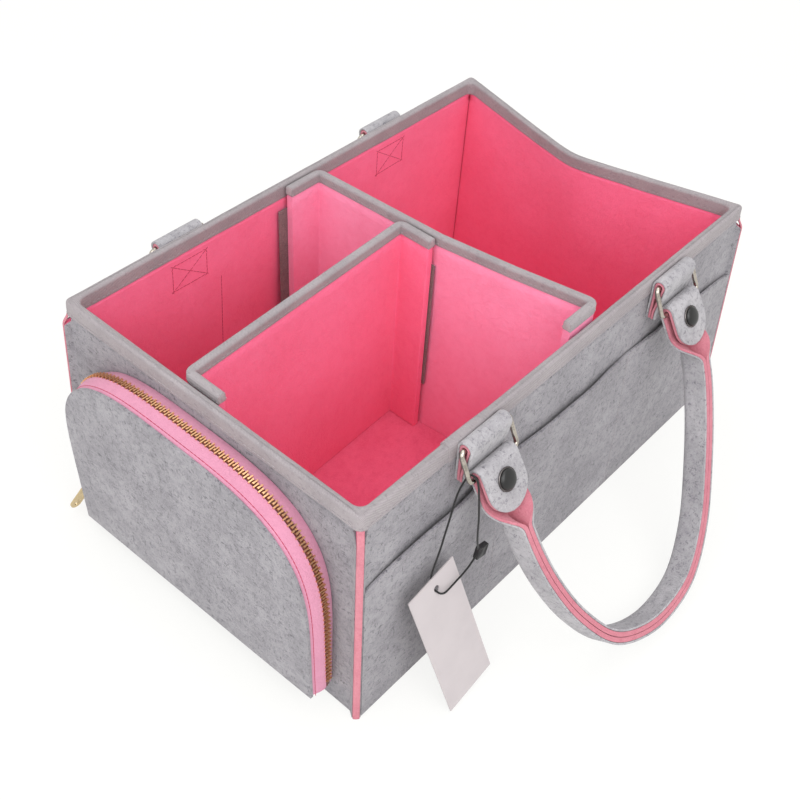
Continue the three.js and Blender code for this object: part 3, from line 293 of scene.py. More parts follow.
def linear(seen: Colour) -> tuple[float, float, float, float]:
    """A colour as it is seen on screen, as the linear colour that shaders use."""
    red, green, blue = (c / 12.92 if c <= 0.04045 else ((c + 0.055) / 1.055) ** 2.4 for c in seen)
    return (red, green, blue, 1.0)


@dataclass(frozen=True)
class FeltFinish:
    """Pressed wool felt: a base colour with darker and paler fibres lying every way."""

    name: str
    base: Colour
    dark: Colour
    pale: Colour
    fleck: float
    mottle: float
    fuzz: float = 0.22

    def build(self) -> bpy.types.Material:
        """Makes the felt's material."""
        s = ShaderSheet(self.name)
        base, dark, pale = (linear(colour) for colour in (self.base, self.dark, self.pale))
        lays = [((1.0, 0.22, 0.6), (0.3, 0.9, 0.5)), ((0.24, 1.0, 0.7), (1.1, 0.2, 1.9)),
                ((0.7, 0.3, 1.0), (2.0, 1.3, 0.4)), ((0.9, 0.8, 0.2), (0.8, 2.2, 2.6))]
        fibres = None
        for stretch, turn in lays:
            strand = s.between(s.noise(1050, 2.0, stretch, turn), 0.55, 0.72)
            fibres = strand if fibres is None else fibres.highest(strand)
        clumps = s.between(s.noise(170, 3.5, rough=0.7), 0.42, 0.7)
        cloud = s.noise(28, 3.0, rough=0.6)
        grain = s.noise(1100, 3.0, rough=0.7)
        flecks = fibres * s.between(s.noise(330, 2.0), 0.38, 0.66) * self.fleck
        colour = s.mix(s.between(cloud, 0.3, 0.7) * self.mottle, base, dark)
        colour = s.mix(clumps * self.mottle * 0.9, colour, dark)
        colour = s.mix(s.between(grain, 0.45, 0.8) * 0.35, colour, pale)
        colour = s.mix(flecks, colour, dark)
        height = grain * 0.55 + fibres * 0.35 + clumps * 0.3
        return s.finish({
            "Base Color": colour, "Roughness": s.between(grain, 0.2, 0.8, 0.98, 0.86),
            "Sheen Weight": self.fuzz, "Sheen Roughness": 0.55, "Specular IOR Level": 0.2,
            "Normal": s.bump(height, 0.45, 0.8),
        })


@dataclass(frozen=True)
class TwillFinish:
    """Woven tape with fine slanting ribs that follow the piece's own map."""

    name: str
    base: Colour
    dark: Colour
    pitch: float = 1.1
    worn: Colour = (0.8, 0.775, 0.79)

    def build(self) -> bpy.types.Material:
        """Makes the tape's material."""
        s = ShaderSheet(self.name)
        base, dark = linear(self.base), linear(self.dark)
        turns = 2 * math.pi / (self.pitch * MM)
        along, across = s.uv("X"), s.uv("Y")
        rib = (along * turns + across * turns + s.noise(160, 2.0) * 3.0).wave()
        thread = (along * (turns * 1.9) - across * (turns * 1.9)).wave()
        worn = s.between(s.noise(45, 3.0), 0.3, 0.75)
        colour = s.mix(s.between(rib, -1.0, 1.0, 0.5, 0.0), base, dark)
        colour = s.mix(worn * 0.3, colour, dark)
        strands = s.between(s.noise(1000, 2.0, (1.0, 0.3, 0.5), (0.5, 0.4, 0.8)), 0.54, 0.72)
        colour = s.mix(strands * 0.4, colour, dark)
        colour = s.mix(s.between(s.noise(900, 2.0), 0.55, 0.8) * 0.3, colour, linear(self.worn))
        height = s.between(rib, -1.0, 1.0) * 0.6 + s.between(thread, -1.0, 1.0) * 0.25 + strands * 0.4
        return s.finish({
            "Base Color": colour, "Roughness": 0.9, "Sheen Weight": 0.15, "Sheen Roughness": 0.5,
            "Specular IOR Level": 0.25, "Normal": s.bump(height, 0.22, 0.8),
        })


@dataclass(frozen=True)
class MetalFinish:
    """Plated or polished metal with faint rubbing marks; on the chrome ring its darker patches are painted dark
    reflection.
    """

    name: str
    base: Colour
    dull: Colour
    gloss: float

    def build(self) -> bpy.types.Material:
        """Makes the metal's material."""
        s = ShaderSheet(self.name)
        rubbed_and_reflection = s.between(s.noise(240, 4.0, rough=0.7), 0.4, 0.75)
        # Mixes in the darker colour in patches: rubbing marks, and on the chrome ring painted dark reflection.
        colour = s.mix(rubbed_and_reflection * 0.5, linear(self.base), linear(self.dull))
        marks = s.noise(2600, 2.0, (1.0, 0.12, 0.5), (0.4, 0.3, 0.7))
        return s.finish({
            "Base Color": colour, "Metallic": 1.0, "Normal": s.bump(marks, 0.02, 0.5),
            "Roughness": s.between(rubbed_and_reflection, 0.0, 1.0, self.gloss, self.gloss + 0.16),
        })


@dataclass(frozen=True)
class MouldedFinish:
    """Moulded plastic or coated card: one colour with slight unevenness."""

    name: str
    base: Colour
    shade: Colour
    rough: float
    coat: float = 0.0
    depth: float = 0.03

    def build(self) -> bpy.types.Material:
        """Makes the plastic's or card's material."""
        s = ShaderSheet(self.name)
        uneven = s.between(s.noise(70, 3.0), 0.3, 0.75)
        fine = s.noise(1800, 2.0)
        return s.finish({
            "Base Color": s.mix(uneven * 0.4, linear(self.base), linear(self.shade)),
            "Roughness": s.between(fine, 0.25, 0.8, self.rough, self.rough + 0.12),
            "Coat Weight": self.coat, "Normal": s.bump(fine, self.depth, 0.5),
        })


@dataclass(frozen=True)
class ThreadFinish:
    """Twisted thread or cord: fine slanting turns."""

    name: str
    base: Colour
    dark: Colour
    turns: float

    def build(self) -> bpy.types.Material:
        """Makes the thread's material."""
        s = ShaderSheet(self.name)
        side, rise = (s.node("ShaderNodeSeparateXYZ", inputs={0: s.place()}, out=axis) for axis in "XZ")
        twist = (side * self.turns + rise * (self.turns * 1.3)).wave()
        colour = s.mix(s.between(twist, -1.0, 1.0), linear(self.base), linear(self.dark))
        return s.finish({
            "Base Color": colour, "Roughness": 0.75, "Sheen Weight": 0.2,
            "Normal": s.bump(s.between(twist, -1.0, 1.0), 0.08, 0.6),
        })


class Finish(Enum):
    """Every finish of the caddy."""

    GREY = FeltFinish("grey_felt", (0.612, 0.6, 0.62), (0.335, 0.325, 0.355), (0.745, 0.735, 0.75), 0.85, 0.34)
    # A lighter copy of the grey felt for the loops and handles: painted light, for the brighter light on their
    # upward-facing felt.
    PALE_GREY = FeltFinish("pale_grey_felt", (0.71, 0.7, 0.715), (0.4, 0.39, 0.42), (0.82, 0.81, 0.82), 0.8, 0.3)
    PINK = FeltFinish("pink_felt", (1.0, 0.49, 0.64), (0.94, 0.37, 0.51), (1.0, 0.6, 0.71), 0.12, 0.22, 0.08)
    # A lighter copy of the pink lining felt for the cross divider: painted light, for the stronger light falling on
    # it.
    PALE_PINK = FeltFinish("pale_pink_felt", (1.0, 0.61, 0.75), (0.95, 0.48, 0.62), (1.0, 0.7, 0.81), 0.12, 0.22, 0.08)
    # A darker copy of the pink lining felt for the floor: painted shade, for the dimmer light on the floor inside.
    FLOOR_PINK = FeltFinish("floor_pink_felt", (0.95, 0.45, 0.59), (0.86, 0.33, 0.46),
                            (1.0, 0.55, 0.67), 0.16, 0.3, 0.08)
    RAW_PINK = FeltFinish("raw_pink_felt", (0.8, 0.51, 0.56), (0.7, 0.37, 0.44), (0.88, 0.63, 0.67), 0.3, 0.3, 0.1)
    GUSSET = FeltFinish("light_pink_cloth", (0.83, 0.57, 0.67), (0.76, 0.48, 0.58), (0.9, 0.67, 0.75), 0.12, 0.2, 0.12)
    TAPE = TwillFinish("grey_tape", (0.69, 0.66, 0.67), (0.49, 0.465, 0.48))
    ZIP_TAPE = TwillFinish("peach_zip_tape", (0.5, 0.3, 0.25), (0.3, 0.17, 0.14), 0.8)
    # The hook tape is grey; here it is darker and tinted pink: painted shade and painted pink reflection from the
    # lining.
    HOOK = FeltFinish("hook_tape", (0.5, 0.43, 0.43), (0.31, 0.26, 0.26), (0.65, 0.57, 0.57), 0.5, 0.3)
    # The ring's darker colour stands for dark reflections in the chrome: painted reflection.
    WIRE = MetalFinish("ring_chrome", (0.74, 0.71, 0.67), (0.24, 0.22, 0.2), 0.12)
    GUNMETAL = MetalFinish("snap_gunmetal", (0.42, 0.4, 0.4), (0.1, 0.09, 0.09), 0.16)
    COPPER = MetalFinish("zip_copper", (0.95, 0.76, 0.58), (0.76, 0.52, 0.36), 0.3)
    GOLD = MetalFinish("zip_gold", (0.84, 0.76, 0.6), (0.62, 0.54, 0.42), 0.2)
    SNAP = MouldedFinish("snap_black", (0.03, 0.028, 0.03), (0.07, 0.065, 0.07), 0.3, 0.12)
    CARD = MouldedFinish("blank_card", (0.765, 0.735, 0.742), (0.72, 0.69, 0.70), 0.55, 0.0, 0.02)
    SEAL = MouldedFinish("black_seal", (0.11, 0.1, 0.11), (0.17, 0.16, 0.17), 0.4, 0.1)
    THREAD = ThreadFinish("grey_thread", (0.71, 0.68, 0.7), (0.56, 0.53, 0.55), 9000.0)
    PINK_THREAD = ThreadFinish("pink_thread", (0.8, 0.22, 0.36), (0.62, 0.13, 0.27), 9000.0)
    CORD = ThreadFinish("black_cord", (0.035, 0.03, 0.035), (0.09, 0.085, 0.09), 5200.0)


_made: dict[Finish, bpy.types.Material] = {}


def material_of(finish: Finish) -> bpy.types.Material:
    """The finish's material, made the first time it is asked for."""
    if finish not in _made:
        _made[finish] = finish.value.build()
    return _made[finish]


def paint_node(frame: dict, name: str, finish: Finish) -> bpy.types.Object:
    """Gives a CAD node that stays its finish.

    Args:
        frame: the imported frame.
        name: the node.
        finish: its finish.

    Returns:
        The node.
    """
    node = frame["nodes"][name]
    node.data.materials.clear()
    node.data.materials.append(material_of(finish))
    return node


# ---------------------------------------------------------------- meshes


def new_object(name: str, data: bpy.types.ID) -> bpy.types.Object:
    """Makes an object at the origin and puts it in the scene."""
    made = bpy.data.objects.new(name, data)
    bpy.context.scene.collection.objects.link(made)
    return made


class Skin:
    """Gathers the points, faces and map of one closed surface, in millimetres."""

    def __init__(self) -> None:
        """Starts empty."""
        self.points: list[Array] = []
        self.faces: list[tuple[int, ...]] = []
        self.maps: list[list[tuple[float, float]]] = []
        self.count = 0

    def add(self, points: Array) -> int:
        """Adds points.

        Args:
            points: an array of positions.

        Returns:
            The number of the first one.
        """
        flat = np.asarray(points, float).reshape(-1, 3)
        self.points.append(flat)
        start = self.count
        self.count += len(flat)
        return start

    def face(self, corners: Sequence[int], place: Sequence[tuple[float, float]] | None = None) -> None:
        """Adds one face and where it lies on the piece's map, in millimetres."""
        self.faces.append(tuple(corners))
        self.maps.append(list(place) if place else [(0.0, 0.0)] * len(corners))

    def build(self, name: str, finish: Finish, crease: float = 38.0) -> bpy.types.Object:
        """Makes the mesh.

        Args:
            name: the piece's name.
            finish: its finish.
            crease: edges sharper than this many degrees stay sharp.

        Returns:
            The new object, at the origin.
        """
        mesh = bpy.data.meshes.new(name)
        mesh.from_pydata((np.concatenate(self.points) * MM).tolist(), [], self.faces)
        layer = mesh.uv_layers.new(name="lay")
        flat = [corner for face in self.maps for corner in face]
        layer.data.foreach_set("uv", (np.array(flat, float) * MM).ravel())
        mesh.validate()
        if _volume(mesh) < 0:
            mesh.flip_normals()
        mesh.shade_smooth()
        mesh.set_sharp_from_angle(angle=math.radians(crease))
        mesh.materials.append(material_of(finish))
        return new_object(name, mesh)


def _volume(mesh: bpy.types.Mesh) -> float:
    """Six times the volume that a closed mesh holds; below zero if it is inside out."""
    mesh.calc_loop_triangles()
    points = np.array([v.co for v in mesh.vertices])
    corners = points[np.array([t.vertices for t in mesh.loop_triangles])]
    return float(np.einsum("ij,ij->i", corners[:, 0], np.cross(corners[:, 1], corners[:, 2])).sum())


def _runs(points: Array) -> Array:
    """Distance from the first point along a line of points."""
    steps = np.linalg.norm(np.diff(points, axis=0), axis=1)
    return np.concatenate([[0.0], np.cumsum(steps)])


def sheet(front: Array, back: Array) -> Skin:
    """A closed sheet between two grids of points.

    Args:
        front: rows by columns by 3.
        back: the same shape.

    Returns:
        The sheet, mapped along its middle row and column.
    """
    skin = Skin()
    rows, columns = front.shape[:2]
    across = _runs(front[rows // 2])
    up = _runs(front[:, columns // 2])
    first, second = skin.add(front), skin.add(back)

    def at(start: int, row: int, column: int) -> tuple[int, tuple[float, float]]:
        """A grid point's number and its place on the map."""
        return start + row * columns + column, (across[column], up[row])

    def quad(*corners: tuple[int, tuple[float, float]]) -> None:
        """Adds one face."""
        skin.face([c[0] for c in corners], [c[1] for c in corners])

    for r in range(rows - 1):
        for c in range(columns - 1):
            quad(at(first, r, c), at(first, r, c + 1), at(first, r + 1, c + 1), at(first, r + 1, c))
            quad(at(second, r, c), at(second, r + 1, c), at(second, r + 1, c + 1), at(second, r, c + 1))
        last = columns - 1
        quad(at(first, r, 0), at(first, r + 1, 0), at(second, r + 1, 0), at(second, r, 0))
        quad(at(first, r + 1, last), at(first, r, last), at(second, r, last), at(second, r + 1, last))
    for c in range(columns - 1):
        top = rows - 1
        quad(at(first, 0, c + 1), at(first, 0, c), at(second, 0, c), at(second, 0, c + 1))
        quad(at(first, top, c), at(first, top, c + 1), at(second, top, c + 1), at(second, top, c))
    return skin


def loft(sections: Array, ring: bool) -> Skin:
    """A solid through a row of closed sections.

    Args:
        sections: sections by points by 3.
        ring: whether the last section joins the first; otherwise both ends are closed.

    Returns:
        The solid, mapped along its path and round its section.
    """
    skin = Skin()
    count, corners = sections.shape[:2]
    centres = sections.mean(axis=1)
    path = _runs(np.vstack([centres, centres[:1]]))
    around = _runs(np.vstack([sections[0], sections[0][:1]]))
    start = skin.add(sections)
    for step in range(count if ring else count - 1):
        here, there = start + step * corners, start + ((step + 1) % count) * corners
        for side in range(corners):
            other = (side + 1) % corners
            skin.face([here + side, here + other, there + other, there + side],
                      [(path[step], around[side]), (path[step], around[side + 1]),
                       (path[step + 1], around[side + 1]), (path[step + 1], around[side])])
    if not ring:
        skin.face([start + side for side in reversed(range(corners))])
        skin.face([start + (count - 1) * corners + side for side in range(corners)])
    return skin


def soften(piece: bpy.types.Object, width: float = 0.45, segments: int = 2) -> bpy.types.Object:
    """Rounds a piece's cut edges.

    Args:
        piece: the piece.
        width: how wide the rounding is, in millimetres.
        segments: how many faces it has across.

    Returns:
        The same piece.
    """
    bevel = piece.modifiers.new("soft_edges", "BEVEL")
    bevel.width = width * MM
    bevel.segments = segments
    bevel.limit_method = "ANGLE"
    bevel.angle_limit = math.radians(48)
    bevel.use_clamp_overlap = True
    return piece


def settle(piece: bpy.types.Object, body: Body | str, slot: Slot, *nodes: str) -> bpy.types.Object:
    """Attaches a finished piece to its CAD body and hides the CAD nodes it stands for.

    Args:
        piece: the piece, in place.
        body: the CAD body it rides on.
        slot: the record's material slot; not used.
        nodes: CAD nodes that it replaces.

    Returns:
        The same piece.
    """
    name = body.value if isinstance(body, Body) else body
    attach(piece, name)
    if nodes:
        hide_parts(*nodes)
    LOG.info("%s rides on %s", piece.name, name)
    return piece


def ease(share: float) -> float:
    """A share from 0 to 1 that starts and ends slowly."""
    return share * share * (3 - 2 * share)


def ways_along(path: Array) -> Array:
    """The way ahead at each point of a line."""
    ahead = np.vstack([path[1:], path[-1:]]) - np.vstack([path[:1], path[:-1]])
    return ahead / np.linalg.norm(ahead, axis=1, keepdims=True)


def normals_of(path: Array) -> Array:
    """The left-hand normals of a flat line of points."""
    ahead = ways_along(path)
    return np.column_stack([-ahead[:, 1], ahead[:, 0]])


def split_long(path: Array, step: float) -> Array:
    """A line with its long straights split.

    Args:
        path: the line's points.
        step: about how long the parts become.

    Returns:
        The line with points added.
    """
    parts = [path[:1]]
    for a, b in zip(path, path[1:]):
        steps = max(1, int(np.linalg.norm(b - a) / step))
        parts.append(np.linspace(a, b, steps + 1)[1:])
    return np.vstack(parts)


def spaced(points: Array, count: int) -> Array:
    """Points at even steps along a line.

    Args:
        points: the line's points.
        count: how many points to return.

    Returns:
        The evenly spaced points.
    """
    run = _runs(points)
    at = np.linspace(0, run[-1], count)
    return np.column_stack([np.interp(at, run, points[:, axis]) for axis in range(points.shape[1])])


def rounded(corners: Sequence[Sequence[float]], radius: float, steps: int = 5) -> Array:
    """A line of points with its inner corners rounded.

    Args:
        corners: the corners.
        radius: the corners' radius.
        steps: faces along each corner.

    Returns:
        The rounded line.
    """
    line = [np.array(corners[0], float)]
    for before, corner, after in zip(corners, corners[1:], corners[2:]):
        b, p, a = (np.array(v, float) for v in (before, corner, after))
        to_b, to_a = (b - p) / np.linalg.norm(b - p), (a - p) / np.linalg.norm(a - p)
        half = math.acos(float(np.clip(to_b @ to_a, -1, 1))) / 2
        setback = radius / math.tan(half)
        start, end = p + to_b * setback, p + to_a * setback
        for t in np.linspace(0, 1, steps + 1):
            line.append((1 - t) ** 2 * start + 2 * t * (1 - t) * p + t * t * end)
    line.append(np.array(corners[-1], float))
    return np.array(line)


# ---------------------------------------------------------------- stitches and other repeats


class RepeatTree:
    """Geometry node trees that repeat a small shape along lines or on points."""

    @staticmethod
    def _group(name: str, inputs: Sequence[tuple[str, str, object]]) -> tuple:
        """Starts a tree with a geometry input and output.

        Args:
            name: the tree's name.
            inputs: name, socket type and value of each size.

        Returns:
            The tree, its input node and its output node.
        """
        tree = bpy.data.node_groups.new(name, "GeometryNodeTree")
        tree.interface.new_socket("Geometry", in_out="INPUT", socket_type="NodeSocketGeometry")
        for label, kind, value in inputs:
            socket = tree.interface.new_socket(label, in_out="INPUT", socket_type=kind)
            if value is not None:
                socket.default_value = value
        tree.interface.new_socket("Geometry", in_out="OUTPUT", socket_type="NodeSocketGeometry")
        return tree, tree.nodes.new("NodeGroupInput"), tree.nodes.new("NodeGroupOutput")

    @staticmethod
    def _node(tree: bpy.types.NodeTree, kind: str, inputs: dict, **settings: str) -> bpy.types.Node:
        """Adds a node.

        Args:
            tree: the tree.
            kind: the node's type.
            inputs: values, or the sockets that they come from, by name or number.
            settings: properties set before the inputs.

        Returns:
            The node.
        """
        made = tree.nodes.new(kind)
        for key, value in settings.items():
            setattr(made, key, value)
        for key, value in inputs.items():
            if isinstance(value, bpy.types.NodeSocket):
                tree.links.new(value, made.inputs[key])
            else:
                made.inputs[key].default_value = value
        return made

    @classmethod
    def stitches(cls) -> bpy.types.NodeTree:
        """The tree that lays short stitches along curves."""
        tree, given, result = cls._group("stitch_run", [
            ("Pitch", "NodeSocketFloat", 0.004), ("Stitch", "NodeSocketVector", (0.0014, 0.0003, 0.0003)),
            ("Thread", "NodeSocketMaterial", None)])
        even = cls._node(tree, "GeometryNodeResampleCurve",
                         {"Curve": given.outputs["Geometry"], "Length": given.outputs["Pitch"]}, mode="LENGTH")
        bead = cls._node(tree, "GeometryNodeMeshUVSphere", {"Segments": 6, "Rings": 4, "Radius": 1.0})
        lying = cls._node(tree, "GeometryNodeTransform",
                          {"Geometry": bead.outputs["Mesh"], "Rotation": (0, math.pi / 2, 0)})
        tangent = cls._node(tree, "GeometryNodeInputTangent", {})
        along = cls._node(tree, "FunctionNodeAlignRotationToVector", {"Vector": tangent.outputs[0]}, axis="X")
        spread = cls._node(tree, "GeometryNodeInstanceOnPoints", {
            "Points": even.outputs[0], "Instance": lying.outputs[0], "Rotation": along.outputs[0],
            "Scale": given.outputs["Stitch"]})
        cls._close(tree, spread, given.outputs["Thread"], result)
        return tree

    @classmethod
    def teeth(cls) -> bpy.types.NodeTree:
        """The tree that sets a zip's teeth on points that carry their own directions."""
        tree, given, result = cls._group("zip_teeth", [
            ("Tooth", "NodeSocketVector", (0.0038, 0.00085, 0.0009)),
            ("Head", "NodeSocketVector", (0.0011, 0.00115, 0.00115)),
            ("Reach", "NodeSocketVector", (0.0014, 0, 0)), ("Metal", "NodeSocketMaterial", None)])
        both = tree.nodes.new("GeometryNodeJoinGeometry")
        for label in ("Tooth", "Head"):
            block = cls._node(tree, "GeometryNodeMeshCube", {"Size": given.outputs[label]})
            move = {"Geometry": block.outputs["Mesh"]}
            if label == "Head":
                move["Translation"] = given.outputs["Reach"]
            moved = cls._node(tree, "GeometryNodeTransform", move)
            tree.links.new(moved.outputs[0], both.inputs[0])
        rise, reach = (cls._node(tree, "GeometryNodeInputNamedAttribute", {"Name": label}, data_type="FLOAT_VECTOR")
                       for label in ("rise", "reach"))
        frame = cls._node(tree, "FunctionNodeAxesToRotation",
                          {0: rise.outputs["Attribute"], 1: reach.outputs["Attribute"]},
                          primary_axis="Z", secondary_axis="X")
        spread = cls._node(tree, "GeometryNodeInstanceOnPoints", {
            "Points": given.outputs["Geometry"], "Instance": both.outputs[0], "Rotation": frame.outputs[0]})
        cls._close(tree, spread, given.outputs["Metal"], result)
        return tree

    @classmethod
    def _close(cls, tree: bpy.types.NodeTree, spread: bpy.types.Node, material: bpy.types.NodeSocket,
               result: bpy.types.Node) -> None:
        """Ends a tree with real geometry and its material."""
        real = cls._node(tree, "GeometryNodeRealizeInstances", {0: spread.outputs[0]})
        paint = cls._node(tree, "GeometryNodeSetMaterial", {"Geometry": real.outputs[0], "Material": material})
        tree.links.new(paint.outputs[0], result.inputs["Geometry"])

    @staticmethod
    def apply(source: bpy.types.Object, tree: bpy.types.NodeTree, values: dict, name: str) -> bpy.types.Object:
        """Runs a tree on an object and keeps the result as a plain mesh.

        Args:
            source: the curve or points; it is removed.
            tree: the tree.
            values: its inputs by name.
            name: the new piece's name.

        Returns:
            The new piece.
        """
        modifier = source.modifiers.new("repeat", "NODES")
        modifier.node_group = tree
        for item in tree.interface.items_tree:
            if item.item_type == "SOCKET" and item.in_out == "INPUT" and item.name in values:
                modifier[item.identifier] = values[item.name]
        graph = bpy.context.evaluated_depsgraph_get()
        mesh = bpy.data.meshes.new_from_object(source.evaluated_get(graph))
        mesh.name = name
        mesh.shade_smooth()
        mesh.set_sharp_from_angle(angle=math.radians(50))
        piece = new_object(name, mesh)
        bpy.data.objects.remove(source)
        return piece


@dataclass
class Seamstress:
    """Gathers the lines of stitching for each body and thread, then lays the stitches."""

    lines: dict[tuple[str, Finish], list[Array]] = field(default_factory=dict)

    def sew(self, body: Body | str, thread: Finish, line: Array) -> None:
        """Adds a line of stitching, in millimetres."""
        name = body.value if isinstance(body, Body) else body
        self.lines.setdefault((name, thread), []).append(np.asarray(line, float))

    def finish(self) -> None:
        """Lays every stitch, as one piece for each body and thread."""
        tree = RepeatTree.stitches()
        for (body, thread), lines in sorted(self.lines.items(), key=lambda item: (item[0][0], item[0][1].name)):
            curve = bpy.data.curves.new("stitch_lines", "CURVE")
            curve.dimensions = "3D"
            for line in lines:
                spline = curve.splines.new("POLY")
                spline.points.add(len(line) - 1)
                flat = np.column_stack([line * MM, np.ones(len(line))])
                spline.points.foreach_set("co", flat.ravel())
            tight = thread is Finish.PINK_THREAD
            values = {"Thread": material_of(thread), "Pitch": 0.003 if tight else 0.0036,
                      "Stitch": (0.0017, 0.00024, 0.00024) if tight else (0.0013, 0.00026, 0.00026)}
            piece = RepeatTree.apply(new_object("stitch_lines", curve), tree, values,
                                     f"stitches_{body}_{thread.value.name}")
            settle(piece, body, Slot.LINING if tight else Slot.TAPE)


# ---------------------------------------------------------------- the soft body


@dataclass(frozen=True)
class BodyShape:
    """The caddy's overall sizes, and how its soft walls stand."""

    length: float = 377.0
    width: float = 236.0
    height: float = 168.7
    flare_length: float = 6.5
    flare_width: float = 8.0
    bow_depth: float = 33.0
    bow_crease: float = 9.0
    bow_start: float = 100.0
    bow_full: float = 170.0
    felt: float = 2.0
    lining: float = 2.5
    tape: float = 0.9
    clear: float = 0.3
    seam_pinch: float = 0.75
    seam_taper: float = 8.0
    binding_drop: float = 10.5
    corner: float = 3.5
    inner_corner: float = 6.0
    rim_sink: float = 0.7
    rim_felt: float = 1.3
    rim_lining: float = 1.5
    ledge: float = 1.5

    @property
    def half_length(self) -> float:
        """Half the length over the walls."""
        return self.length / 2

    @property
    def half_width(self) -> float:
        """Half the width over the walls."""
        return self.width / 2

    @property
    def wall(self) -> float:
        """A wall's thickness, felt and lining."""
        return self.felt + self.clear + self.lining

    @property
    def binding_foot(self) -> float:
        """Where the rim tape's lower edge is."""
        return self.height - self.binding_drop

    @property
    def rim_depths(self) -> dict[str, tuple[float, float]]:
        """Where felt and lining are, behind the wall's face, squeezed inside the rim tape."""
        felt = (self.rim_sink, self.rim_sink + self.rim_felt)
        return {"felt": felt, "lining": (felt[1] + self.clear, felt[1] + self.clear + self.rim_lining)}

    @property
    def rim_overhang(self) -> float:
        """How far the rim tape stands out from the walls' outer faces."""
        return self.clear + self.tape - self.rim_sink

    @property
    def rim_inset(self) -> float:
        """How far in the rim tape reaches from the walls' outer faces."""
        return self.rim_depths["lining"][1] + self.clear + self.tape

    def dress(self, points: Array) -> Array:
        """Moves points of the straight box to where the soft body has them.

        Args:
            points: any array of positions.

        Returns:
            The moved positions.
        """
        p = np.array(points, float)
        x, y, z = p[..., 0], p[..., 1], p[..., 2]
        rise = z / self.height
        wide_x = 1 + self.flare_length / self.half_length * (1 - rise)
        wide_y = 1 + self.flare_width / self.half_width * (1 - rise)
        lift = np.maximum(0, z - self.wall) / (self.height - self.wall)
        reach = np.clip((x - self.bow_start) / (self.bow_full - self.bow_start), 0, 1)
        across = np.maximum(0, 1 - np.hypot(y, self.bow_crease) / self.half_width)
        return np.stack([x * wide_x - self.bow_depth * lift * reach * across, y * wide_y, z], axis=-1)

    def side_face(self, z: float) -> float:
        """How far out a long wall's face stands at a height."""
        return float(self.dress(np.array([0, self.half_width, z]))[1])


SHAPE = BodyShape()


class WallSide(Enum):
    """The four walls: half the span, half the distance across, and the way out."""

    NEAR = ("near", SHAPE.half_length, SHAPE.half_width, (0, -1))
    FAR = ("far", SHAPE.half_length, SHAPE.half_width, (0, 1))
    ZIP_END = ("zip_end", SHAPE.half_width, SHAPE.half_length, (-1, 0))
    PLAIN_END = ("plain_end", SHAPE.half_width, SHAPE.half_length, (1, 0))

    @property
    def label(self) -> str:
        """The wall's name in the CAD nodes."""
        return self.value[0]

    @property
    def half_span(self) -> float:
        """Half the wall's length."""
        return self.value[1]

    @property
    def half(self) -> float:
        """The outer face's distance from the middle."""
        return self.value[2]

    def at(self, along: Array, out: Array, z: Array) -> Array:
        """Points from places along the wall, out from the middle and up.

        Args:
            along: places along the wall.
            out: distances out.
            z: heights.

        Returns:
            The undressed positions.
        """
        along, out, z = np.broadcast_arrays(*(np.asarray(v, float) for v in (along, out, z)))
        step_x, step_y = self.value[3]
        if step_x:
            return np.stack([out * step_x, along, z], axis=-1)
        return np.stack([along, out * step_y, z], axis=-1)


RIPPLE_DEPTH = 0.42
RIPPLE_WAVES = (150.0, 96.0, 61.0, 43.0)
RIPPLE_SEEDS = {"near": 3, "far": 11, "zip_end": 23, "plain_end": 31}


def ripple(side: WallSide, along: Array, z: Array) -> Array:
    """The soft unevenness of a wall, the same for all its layers.

    Args:
        side: the wall.
        along: places along it.
        z: heights.

    Returns:
        How far out each place stands, in millimetres.
    """
    rng = np.random.default_rng(RIPPLE_SEEDS[side.label])
    depth = 0.0
    for wave in RIPPLE_WAVES:
        turn, phase, slant = rng.uniform(-1, 1, 3)
        angle = 2 * math.pi * (along / wave + slant * z / 170) + 6 * phase + turn
        depth = depth + (wave / RIPPLE_WAVES[0]) * np.cos(angle)
    up = np.clip(z / 35, 0, 1) * np.clip((SHAPE.binding_foot - 3 - z) / 25, 0, 1)
    ends = np.clip((side.half_span - 12 - np.abs(along)) / 30, 0, 1)
    return RIPPLE_DEPTH * depth * up * ends


